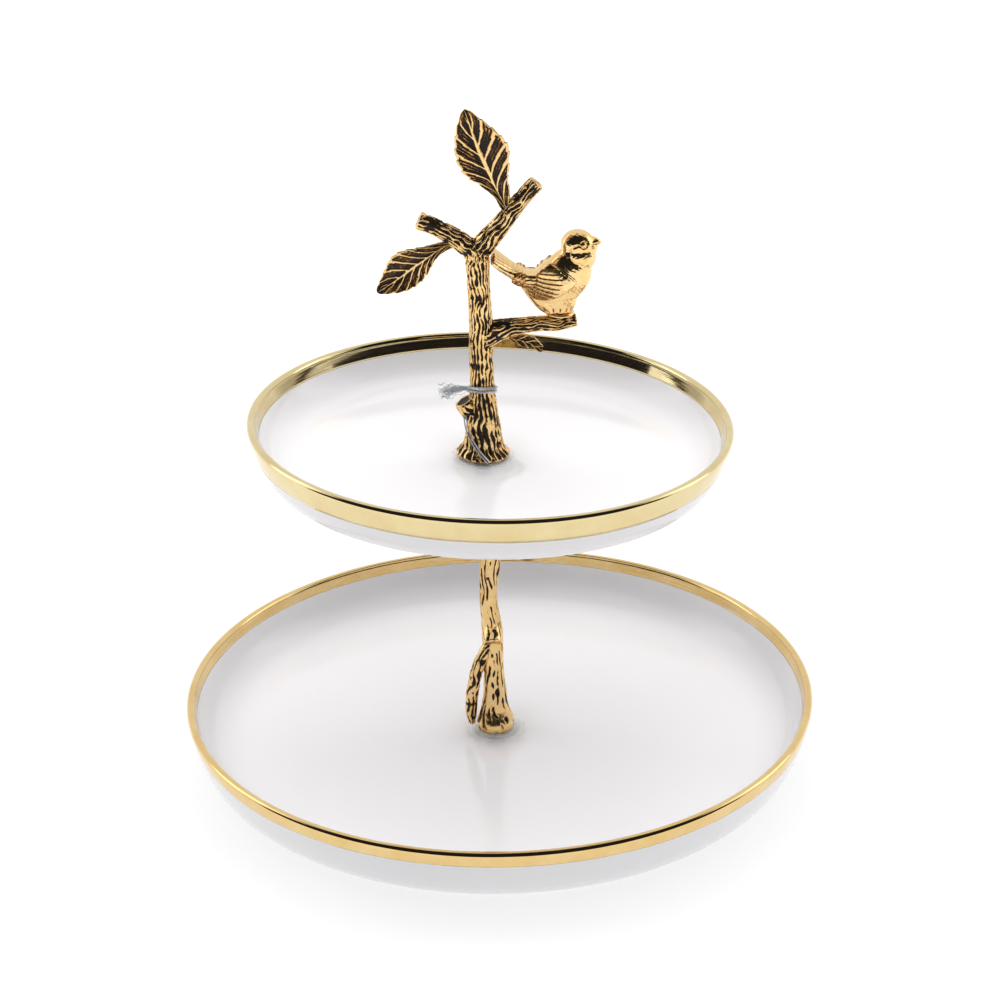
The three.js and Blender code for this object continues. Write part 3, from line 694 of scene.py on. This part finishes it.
def make_base_screw():
    """A low pan-head screw with a hexagon socket in its head, threaded up into the post."""
    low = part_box("base_screw")[0].z / MM
    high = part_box("base_screw")[1].z / MM
    head, sides = 5.5, 48
    angle = np.linspace(0, 2 * math.pi, sides, endpoint=False)
    hexagon = 2.0 * math.cos(math.pi / 6) / np.cos((angle + math.pi / 6) % (math.pi / 3) - math.pi / 6)

    def circle(radius, z):
        radius = np.broadcast_to(radius, angle.shape)
        return np.stack([radius * np.cos(angle), radius * np.sin(angle), np.full(sides, z)], -1)

    profile = [circle(0.02, low + 1.3), circle(hexagon * 0.98, low + 1.3), circle(hexagon, low + 1.2),
               circle(hexagon, low + 0.1), circle(hexagon + 0.15, low), circle(head - 1.3, low),
               circle(head - 0.5, low + 0.25), circle(head, low + 0.9), circle(head, low + 2.1),
               circle(head - 0.1, low + 2.2), circle(3.1, low + 2.2), circle(2.9, low + 2.3)]
    rows = thread_rows(low + 2.4, high)
    points = np.concatenate([profile, rows, [rows[-1] * (0.75, 0.75, 1), rows[-1] * (0.01, 0.01, 1)]])
    piece("base_screw", points, grid_faces(len(points), sides), STEEL, "post", "steel", cad=["base_screw"], at=BASE)


make_stud()
make_base_screw()

# ---------------------------------------------------------------- branch handle

FOOT_LEVEL = CLEAR_HEIGHT + 2 * SEAT_GAP
TRUNK = [
    (0, 0, FOOT_LEVEL, 10.3), (0, 0, 2.3, 10.6), (0, 0, 3.4, 9.8), (0, 0, 5.2, 8.3), (-0.05, 0, 8, 7.5),
    (-0.1, 0, 11, 7.1), (-0.7, 0, 19, 6.2), (-0.95, 0, 32, 4.6), (-1.8, 0, 47, 4.6), (-2.3, 0, 64, 4.4),
    (-3.4, 0, 77, 4.4), (-4, 0, 85, 4.3), (-4.4, 0, 90, 3.1),
]
TRUNK_LOOK = {"around": 19, "length": 4.9, "seed": 5, "relief": 0.7, "lumps": 0.3, "calm_start": 1.2, "flat_start": True,
              "dark": 0.53, "broken": 1.35}
BRANCH_LOOK = {"around": 13, "length": 4.4, "seed": 31, "relief": 0.6, "lumps": 0.3, "calm_end": 0.5, "dark": 0.59,
               "broken": 1.3}
limb("handle_trunk", TRUNK, TRUNK_LOOK, ["handle_trunk"], "handle", TIER)
limb("right_branch", [
    (-5.0, 0, 80, 3.6), (-3.4, 0, 86, 4.3), (-0.4, 0, 90.8, 4.2), (3.8, 0, 96, 3.7), (11.5, 0, 106, 3.3),
    (18.2, 0, 114.2, 3.1)], dict(BRANCH_LOOK, seed=33), ["right_branch"], "handle", TIER)
limb("left_branch", [
    (-3, 0, 82, 3.6), (-5.6, 0, 86.6, 4.1), (-9.4, 0, 89.6, 3.8), (-14.6, 0, 93, 3.4), (-20.4, 0, 96.2, 3.2),
    (-26.4, 0, 98.6, 3.5)], dict(BRANCH_LOOK, seed=37), ["left_branch"], "handle", TIER)
limb("perch_branch", [
    (-2.6, 0, 47.5, 3.2), (0.6, 0, 51.6, 4.6), (4.6, 0, 53.9, 4.3), (11, 0, 55.8, 3.4), (19, 0, 57.2, 3.1),
    (28, 0, 57.6, 3.0), (35.2, 0, 59, 2.5)], dict(BRANCH_LOOK, seed=41), ["perch_branch"], "handle", TIER)
limb("trunk_knot", [(0, 0, 11.5, 3.0), (-3.0, -0.2, 16.6, 3.9), (-5.7, -0.5, 20.8, 4.1), (-7.9, -0.8, 24.2, 4.0)],
     {"around": 9, "length": 5.0, "seed": 45, "relief": 0.6, "lumps": 0.3, "calm_end": 0.5, "dark": 0.55,
      "cap_dark": 0.95, "cap_hollow": 0.35},
     ["trunk_knot"], "handle", TIER)

# ---------------------------------------------------------------- leaves

LEAF_ROWS = 110
LEAF_COLUMNS = 56
LEAF_HALF_THICKNESS = 0.55
VEIN_SLOPE = 0.26
TEETH = 11


def vein(phase, width):
    """1 on the ridge of a vein that runs through whole numbers of the phase, 0 away from it."""
    offset = np.abs((phase + 0.5) % 1 - 0.5)
    return 1 - smoothstep(width * 0.35, width, offset)


def leaf_relief(t, s, veins):
    """Ridge height 0 to 1: midrib, side veins that sweep towards the tip, fine veins between them, rim."""
    reach = np.abs(s)
    phase = (t - VEIN_SLOPE * reach ** 0.8) * veins + np.where(s > 0, 0.0, 0.45)
    main = vein(phase, 0.14) * smoothstep(0.0, 0.1, t) * smoothstep(1.02, 0.86, t)
    fine = vein(phase * 4 + 0.5, 0.3) * smoothstep(0.12, 0.35, reach) * 0.55
    midrib = 1 - smoothstep(0.025, 0.08 + 0.09 * (1 - t), reach)
    rim = smoothstep(0.86, 0.95, reach)
    return np.maximum.reduce([main, fine, midrib, rim])


def leaf_blade(name, cad, midrib, left, right, stem, veins, plane_y, cup, seed):
    """A cast leaf: half widths left and right of a midrib of (x, z) points, toothed, cupped, veined.
    It grows out of its branch as a stem of a given half width."""
    spine, _ = spline([(x, plane_y, z) for x, z in midrib], LEAF_ROWS)
    tangents = np.gradient(spine, axis=0)
    tangents /= np.linalg.norm(tangents, axis=1)[:, None]
    across = np.stack([-tangents[:, 2], np.zeros(LEAF_ROWS), tangents[:, 0]], -1)
    t = np.linspace(0, 1, LEAF_ROWS)
    knots = np.linspace(0, 1, len(left) + 2)
    rows_t, s = np.meshgrid(t, np.linspace(-1, 1, LEAF_COLUMNS), indexing="ij")
    draw = np.random.default_rng(seed)
    width = np.empty_like(s)
    for sign, widths in ((1, left), (-1, right)):
        smooth = spline([(k, 0, 0, w) for k, w in zip(knots, (stem, *widths, 1.0))], LEAF_ROWS)[0][:, 3]
        tooth = (t * TEETH + draw.uniform(0, 1)) % 1
        toothed = smooth * (1 + 0.05 * (tooth - 0.5)) + 0.3 * tooth * smoothstep(0.25, 0.4, t)
        toothed *= np.sqrt(np.clip(1 - ((t - 0.965) / 0.036).clip(0, 1) ** 2, 0.0004, 1))
        width = np.where(np.sign(s) == sign, toothed[:, None], width)
    width = np.where(s == 0, 0, width)
    relief = leaf_relief(rows_t, s, veins)
    lift = cup * np.abs(s) ** 1.6 * width / max(max(left), max(right)) + 0.35 * np.sin(rows_t * 9 + s * 2 + seed)
    edge = np.sqrt(np.clip(1 - np.abs(s) ** 10, 0, 1))
    thick = LEAF_HALF_THICKNESS + (stem * 0.8 - LEAF_HALF_THICKNESS) * smoothstep(0.3, 0.0, rows_t) * np.sqrt(1 - s * s)
    base = spine[:, None, :] + across[:, None, :] * (s * width)[..., None]
    front, back = base.copy(), base.copy()
    front[..., 1] -= lift + thick * edge + 0.5 * (relief - 0.5) * edge
    back[..., 1] -= lift - thick * edge - 0.18 * (relief - 0.5) * edge
    points = np.concatenate([front, back[:, ::-1]], axis=1)
    dark = np.clip(1.12 - relief * 1.25, 0, 1) * smoothstep(0.0, 0.14, rows_t + 0.02)
    recess = np.concatenate([dark, dark[:, ::-1] * 0.8], axis=1)
    columns = points.shape[1]
    ends = [points[:1].mean(axis=1, keepdims=True).repeat(columns, 1),
            points[-1:].mean(axis=1, keepdims=True).repeat(columns, 1)]
    points = np.concatenate([ends[0] + (points[:1] - ends[0]) * 0.01, points, ends[1] + (points[-1:] - ends[1]) * 0.01])
    recess = np.concatenate([recess[:1], recess, recess[-1:]])
    piece(name, points, grid_faces(len(points), columns), CAST_GOLD, "handle", "patina_gold", cad=[cad], at=TIER,
          recess=recess)


leaf_blade("top_leaf", "top_leaf",
           [(8.8, 101.2), (5.7, 106.7), (2.1, 113.2), (0.1, 118.1), (-4.4, 128.0), (-9.7, 142.4)],
           [2.2, 2.3, 4.6, 7.8, 9.2, 8.9, 7.2, 4.6], [2.6, 4.8, 6.3, 8.6, 10.8, 10.3, 8.0, 4.6], 2.2, 7, 0.0, 1.5, 3)
leaf_blade("left_leaf", "left_leaf",
           [(-12.0, 90.6), (-18.4, 87.2), (-26.5, 80.9), (-33.5, 75.4), (-42.4, 69.1)],
           [1.8, 2.1, 3.1, 5.0, 6.1, 6.1, 5.1, 3.1], [1.9, 3.1, 4.9, 7.2, 8.8, 8.4, 6.3, 3.6], 2.0, 8, 0.0, 1.3, 5)
leaf_blade("perch_leaf", "perch_leaf", [(8.6, 52.2), (12.6, 50.6), (17.6, 49.2), (22.4, 46.6)],
           [1.8, 2.6, 3.2, 3.1, 1.9], [1.2, 1.6, 2.0, 1.9, 1.2], 1.3, 4, -0.8, 0.5, 7)

# ---------------------------------------------------------------- bird

BIRD_X = 28.7
BIRD_FLOOR = 62.9
SKIN_VOXEL = 0.26


def ball(centre, radii, lean=0.0, rings=24, sides=32):
    """A closed ellipsoid; lean turns it about Y, up towards +X."""
    polar, angle = np.meshgrid(np.linspace(0.001, math.pi - 0.001, rings),
                               np.linspace(0, 2 * math.pi, sides, endpoint=False), indexing="ij")
    x, y, z = (radii[0] * np.sin(polar) * np.cos(angle), radii[1] * np.sin(polar) * np.sin(angle),
               radii[2] * np.cos(polar))
    return np.stack([x * math.cos(lean) - z * math.sin(lean), y, x * math.sin(lean) + z * math.cos(lean)], -1) + centre


def tube(stations, flat=(1.0, 1.0), rows=30, sides=32):
    """A closed plain tube through (x, y, z, radius), widened across Y by factors from start to end."""
    line, _ = spline(stations, rows)
    flat = np.interp(np.linspace(0, 1, rows), np.linspace(0, 1, len(flat)), flat)[:, None, None]
    _, side, binormal = transport(line[:, :3])
    angle = np.linspace(0, 2 * math.pi, sides, endpoint=False)[None, :, None]
    ring = np.cos(angle) * side[:, None] * flat + np.sin(angle) * binormal[:, None]
    body = line[:, None, :3] + ring * line[:, 3][:, None, None]
    first = line[0, :3] + (body[:1] - line[0, :3]) * 0.01
    last = line[-1, :3] + (body[-1:] - line[-1, :3]) * 0.01
    return np.concatenate([first, body, last])


def fused(parts, voxel, rounds):
    """One smooth closed skin round overlapping closed grids: its points, normals and faces."""
    points, faces, count = [], [], 0
    for part in parts:
        rows, sides = part.shape[:2]
        points.append(part.reshape(-1, 3))
        faces += grid_faces(rows, sides, start=count)
        count += rows * sides
    mesh = bpy.data.meshes.new("blank")
    mesh.from_pydata(np.vstack(points).tolist(), [], faces)
    blank = bpy.data.objects.new("blank", mesh)
    bpy.context.scene.collection.objects.link(blank)
    remesh = blank.modifiers.new("skin", "REMESH")
    remesh.mode = "VOXEL"
    remesh.voxel_size = voxel
    soften = blank.modifiers.new("soften", "SMOOTH")
    soften.factor = 0.5
    soften.iterations = rounds
    skin = blank.evaluated_get(bpy.context.evaluated_depsgraph_get()).to_mesh()
    where = np.empty(len(skin.vertices) * 3)
    normals = np.empty(len(skin.vertices) * 3)
    skin.vertices.foreach_get("co", where)
    skin.vertices.foreach_get("normal", normals)
    skin_faces = [tuple(face.vertices) for face in skin.polygons]
    bpy.data.objects.remove(blank)
    return where.reshape(-1, 3), normals.reshape(-1, 3), skin_faces


def bird_blank():
    return [
        ball((28.4, 0, 75.4), (13.6, 8.7, 9.4), 0.62),
        ball((31.4, 0, 79.6), (9.6, 8.0, 8.4), 0.8),
        ball((34.8, 0, 85.2), (7.4, 6.8, 6.8)),
        ball((34.7, 0, 90.0), (6.6, 6.2, 5.9)),
        ball((38.2, 0, 88.8), (4.3, 4.5, 3.9)),
        tube([(37.6, 0, 90.2, 3.8), (40.6, 0, 90.7, 2.8), (42.4, 0, 91.1, 1.7), (43.9, 0, 91.2, 0.6)], rows=16),
        tube([(25, 0, 75.0, 5.0), (19, 0, 75.2, 4.0), (14, 0, 76.6, 2.6), (9, 0, 79.4, 1.9), (5.4, 0, 82.0, 1.6),
              (2.0, 0, 84.6, 1.3)], flat=(1.2, 1.2, 1.8, 3.3, 5.2, 6.9)),
        tube([(27.0, 0, BIRD_FLOOR + 0.6, 5.2), (25.6, 0, 66.6, 6.0), (22.2, 0, 69.8, 5.9), (18.2, 0, 73.0, 4.8),
              (14.6, 0, 75.6, 2.9), (11.4, 0, 77.6, 1.4)]),
        tube([(BIRD_X, 0, BIRD_FLOOR + 0.2, 5.2), (BIRD_X, 0, BIRD_FLOOR + 1.4, 5.5), (BIRD_X, 0, BIRD_FLOOR + 4, 6.6),
              (28.4, 0, BIRD_FLOOR + 9, 7.6)]),
    ]


WING_TIP = (9.6, 76.4)
WING_SHOULDER_X = 34.6
FEATHER_HUB = (1.5, 76.8)


def wing_relief(x, z):
    """Height above the flank in mm and groove darkness of a folded wing, seen from the side."""
    along = (x - WING_TIP[0]) / (WING_SHOULDER_X - WING_TIP[0])
    inside = np.clip(along, 0.001, 0.999)
    half = 7.4 * np.sin(math.pi * inside ** 0.85) ** 0.75
    middle = 76.4 + 0.6 * along
    depth = half - np.abs(z - middle)
    mask = smoothstep(-0.1, 0.8, depth) * (along > 0) * (along < 1)
    angle = np.arctan2(z - FEATHER_HUB[1], x - FEATHER_HUB[0])
    fan = (angle / 0.068) + 0.3 * np.sin(along * 3)
    ramp_up = fan % 1
    long_feathers = smoothstep(0.84, 0.6, along)
    row = along * 9.0 + 0.28 * np.abs((fan * 0.9) % 1 - 0.5) * 2
    scale_up = (row % 1)
    height = mask * (0.7 + 0.75 * ramp_up * long_feathers + 0.3 * scale_up * (1 - long_feathers) * smoothstep(1, 0.8, along))
    gap = np.minimum(ramp_up, 1 - ramp_up)
    groove = (1 - smoothstep(0.05, 0.3, gap)) * long_feathers
    groove = np.maximum(groove, (1 - smoothstep(0.0, 0.16, scale_up)) * (1 - long_feathers) * 0.55 * smoothstep(1, 0.85, along))
    rim = np.exp(-(depth / 0.45) ** 2) * (along > 0) * (along < 1)
    return height, np.clip(mask * groove * 0.9 + rim * 0.7, 0, 1)


def make_bird():
    points, normals, faces = fused(bird_blank(), SKIN_VOXEL, 16)
    x, y, z = points.T
    flank = smoothstep(2.4, 4.6, np.abs(y)) * smoothstep(0.05, 0.4, np.abs(normals[:, 1]))
    height, dark = wing_relief(x, z)
    push, recess = height * flank, dark * flank
    tail = smoothstep(16.0, 12.5, x) * smoothstep(0.15, 0.5, np.abs(normals[:, 2]))
    spread = 1.0 + 0.09 * np.clip(16 - x, 0, 14)
    barbs = np.abs((y / (1.25 * spread) + 0.5) % 1 - 0.5) * 2
    chevron = ((x - 0.6 * np.abs(barbs)) / 1.9) % 1
    push += tail * (0.32 * (1 - barbs) + 0.16 * chevron)
    recess = np.maximum(recess, tail * np.maximum(smoothstep(0.72, 0.98, barbs), 0.6 * (1 - smoothstep(0, 0.25, chevron))))
    for side in (-1, 1):
        eye = np.linalg.norm(points - (36.9, side * 5.0, 91.3), axis=1)
        push += 0.45 * np.exp(-(eye / 0.75) ** 2) - 0.3 * np.exp(-((eye - 1.35) / 0.35) ** 2)
        recess = np.maximum(recess, 0.55 * np.exp(-((eye - 1.3) / 0.35) ** 2))
    mouth = np.exp(-((z - 91.0 - (x - 43) * 0.05) / 0.22) ** 2) * smoothstep(39.6, 40.6, x)
    push -= 0.25 * mouth
    recess = np.maximum(recess, mouth * 0.9)
    toes = smoothstep(BIRD_FLOOR + 3.4, BIRD_FLOOR + 2.2, z) * smoothstep(BIRD_FLOOR + 0.4, BIRD_FLOOR + 1.0, z)
    claw = np.abs((np.arctan2(y, x - BIRD_X) * 7 / math.pi) % 1 - 0.5) * 2
    push += toes * 0.3 * (claw - 0.6)
    recess = np.maximum(recess, toes * smoothstep(0.45, 0.1, claw) * 0.9)
    down = np.sin(x * 2.3 + np.sin(z * 2.0) * 1.3) * np.sin(z * 2.6 + y * 1.7 + np.sin(x * 1.6))
    breast = smoothstep(26, 33, x) * (1 - flank * smoothstep(0.1, 0.5, height))
    push += 0.05 * down * breast
    cheek = np.exp(-((np.hypot(x - 35.2, z - 87.6) - 3.6) / 0.5) ** 2) * smoothstep(2.0, 4.0, np.abs(y))
    push -= 0.3 * cheek * smoothstep(36.5, 33.0, x)
    recess = np.maximum(recess, 0.35 * cheek)
    shifted = points + normals * push[:, None]
    shifted[:, 2] = np.maximum(shifted[:, 2], BIRD_FLOOR)
    piece("bird", shifted, faces, BIRD_GOLD, "handle", "bright_gold", cad=["bird"], at=TIER, recess=recess)


make_bird()
BASE_LOW = 61.6
revolve("bird_base", [(1.35, BASE_LOW), (5.5, BASE_LOW), (5.8, BASE_LOW + 0.25), (5.85, BASE_LOW + 0.6), (5.6, BASE_LOW + 0.95),
                      (1.35, BASE_LOW + 1.0)], 72, BIRD_GOLD, "handle", "bright_gold", cad=["bird_base"],
        at=TIER @ Matrix.Translation((BIRD_X * MM, 0, 0)))
revolve("bird_pin", [(0.02, 58.6), (1.0, 58.6), (1.2, 58.8), (1.2, 64.4), (1.0, 64.6), (0.02, 64.6)], 32, STEEL, "handle",
        "steel", cad=["bird_pin"], at=TIER @ Matrix.Translation((BIRD_X * MM, 0, 0)))

# ---------------------------------------------------------------- tinsel tie

TIE_X = -0.95
TIE_Z = 29.3
TIE_REACH = 5.55


def strands(name, lines, widths, cad):
    """One mesh of many closed foil strands along lines of points, each with its own half width."""
    points, faces, count, sides = [], [], 0, 6
    angle = np.linspace(0, 2 * math.pi, sides, endpoint=False)[None, :, None]
    for line, half in zip(lines, widths):
        tangents = np.gradient(line, axis=0)
        tangents /= np.linalg.norm(tangents, axis=1)[:, None]
        _, side, binormal = transport(line, first=np.cross(tangents[0], (0.31, 0.22, 0.93)))
        taper = np.ones(len(line))
        taper[[0, -1]] = 0.05
        ring = np.cos(angle) * side[:, None] + 0.45 * np.sin(angle) * binormal[:, None]
        body = line[:, None, :] + ring * (half * taper)[:, None, None]
        points.append(body.reshape(-1, 3))
        faces += grid_faces(len(line), sides, start=count)
        count += len(line) * sides
    piece(name, np.vstack(points), faces, TINSEL, "handle", "tinsel", cad=cad, at=TIER)


def tie_loop():
    """Foil strands twisted together, twice round the trunk."""
    lines, widths = [], []
    turn = np.linspace(0, 2 * math.pi, 260)
    for wrap, (height, reach) in enumerate(((-0.75, 0.0), (0.7, 0.15))):
        for k in range(5):
            twist = turn * (9 + wrap) + k * 2 * math.pi / 5 + wrap
            out = TIE_REACH + reach + 0.42 * np.cos(twist)
            level_z = TIE_Z + height + 0.42 * np.sin(twist) - 1.5 * np.sin(turn)
            lines.append(np.column_stack([TIE_X + out * np.cos(turn), out * np.sin(turn), level_z]))
            widths.append(0.24)
    strands("tie_loop", lines, widths, ["tie_loop"])


def tie_tail():
    """Two twisted ends of the thread, frayed into curled foil hairs."""
    lines, widths = [], []
    for k in range(40):
        t = np.linspace(0, 1, 44)
        end = np.array((-18.2 + RNG.uniform(-0.6, 4.0), -2.4 + RNG.normal(0, 1.0), 28.3 + RNG.normal(0, 1.5)))
        start = np.array((-5.8 + RNG.uniform(-0.5, 0.5), -2.4 + RNG.normal(0, 0.3), 30.4 + RNG.normal(0, 0.4)))
        line = start + (end - start) * t[:, None]
        line[:, 2] += 0.9 * np.sin(t * math.pi) * RNG.uniform(0.3, 1.0)
        phase, curl = RNG.uniform(0, 6.28, 2), RNG.uniform(0.4, 0.95)
        line[:, 1] += curl * t * np.sin(t * RNG.uniform(16, 30) + phase[0])
        line[:, 2] += curl * (0.35 + t * 0.6) * np.sin(t * RNG.uniform(16, 30) + phase[1])
        lines.append(line)
        widths.append(RNG.uniform(0.11, 0.2))
    strands("tie_tail", lines, widths, ["tie_tail"])


def tie_strand():
    """Two flat threads side by side, from the knot's side down to the foot's front edge."""
    route, _ = spline([(-7.7, -2.6, 19.4), (-6.7, -5.4, 14.2), (-4.4, -7.8, 9.6), (-1.6, -9.5, 5.9), (1.2, -11.1, 3.2),
                       (2.2, -11.5, 2.05)], 70)
    lines, widths = [], []
    for shift in (-0.42, 0.42):
        line = route[:, :3] + np.array((shift, -0.12, shift * 0.55))
        lines.append(line)
        widths.append(0.46)
    strands("tie_strand", lines, widths, ["tie_strand"])


tie_loop()
tie_tail()
tie_strand()


# ---------------------------------------------------------------- stage and light


def make_stage():
    """A pale floor, faintly lit from below like a light table so that contact shadows stay soft."""
    material, tree, out = shader("stage_floor", Roughness=0.9, Specular_IOR_Level=0.0, Emission_Color=(1, 1, 1, 1))
    away = node(tree, "ShaderNodeVectorMath", {0: local(tree)}, operation="LENGTH").outputs["Value"]
    link(tree, level(tree, away, 0.12, 0.7, 0.66, 0.8), out.inputs["Emission Strength"])
    tone = noise(tree, local(tree), 3.0, 2.0)
    link(tree, ramp(tree, tone, [(0.3, (0.34, 0.34, 0.34)), (0.7, (0.36, 0.36, 0.36))]), out.inputs["Base Color"])
    mesh = bpy.data.meshes.new("floor")
    reach = 6.0
    mesh.from_pydata([(-reach, -reach, 0), (reach, -reach, 0), (reach, reach, 0), (-reach, reach, 0)], [], [(0, 1, 2, 3)])
    mesh.materials.append(material)
    floor = bpy.data.objects.new("floor", mesh)
    floor.location.z = -0.0002
    bpy.context.scene.collection.objects.link(floor)


def area_light(name, place, target, width, height, power, mirrored=True):
    data = bpy.data.lights.new(name, "AREA")
    data.shape = "RECTANGLE"
    data.size, data.size_y = width, height
    data.energy = power
    light = bpy.data.objects.new(name, data)
    light.location = place
    light.rotation_euler = (Vector(target) - Vector(place)).to_track_quat("-Z", "Y").to_euler()
    light.visible_glossy = mirrored
    bpy.context.scene.collection.objects.link(light)


def make_world():
    """A white room behind the stand, near black overhead and in front, where the camera stands."""
    world = bpy.data.worlds.new("studio")
    world.use_nodes = True
    tree = world.node_tree
    direction = node(tree, "ShaderNodeTexCoord").outputs["Generated"]
    parts = node(tree, "ShaderNodeSeparateXYZ", {"Vector": direction})
    front = level(tree, parts.outputs["Y"], 0.3, 0.05, 0.0, 1.0)
    above = level(tree, parts.outputs["Z"], 0.0, 0.07, 0.0, 1.0)
    dark = maths(tree, "MULTIPLY", front, above)
    background = tree.nodes["Background"]
    studio = mix(tree, dark, (0.92, 0.92, 0.92), (0.016, 0.015, 0.018))
    seen = node(tree, "ShaderNodeLightPath").outputs["Is Camera Ray"]
    link(tree, mix(tree, seen, studio, (1.0, 1.0, 1.0)), background.inputs["Color"])
    background.inputs["Strength"].default_value = 1.0
    bpy.context.scene.world = world


make_stage()
make_world()
area_light("top_softbox", (0, -0.1, 1.6), (0, 0, 0.1), 3.2, 3.2, 42, mirrored=False)
area_light("left_softbox", (-1.6, 0.3, 0.9), (0, 0, 0.15), 0.9, 1.4, 4.5)
area_light("right_softbox", (1.6, 0.3, 0.85), (0, 0, 0.15), 0.9, 1.3, 4)
bpy.context.scene.view_settings.view_transform = "Standard"
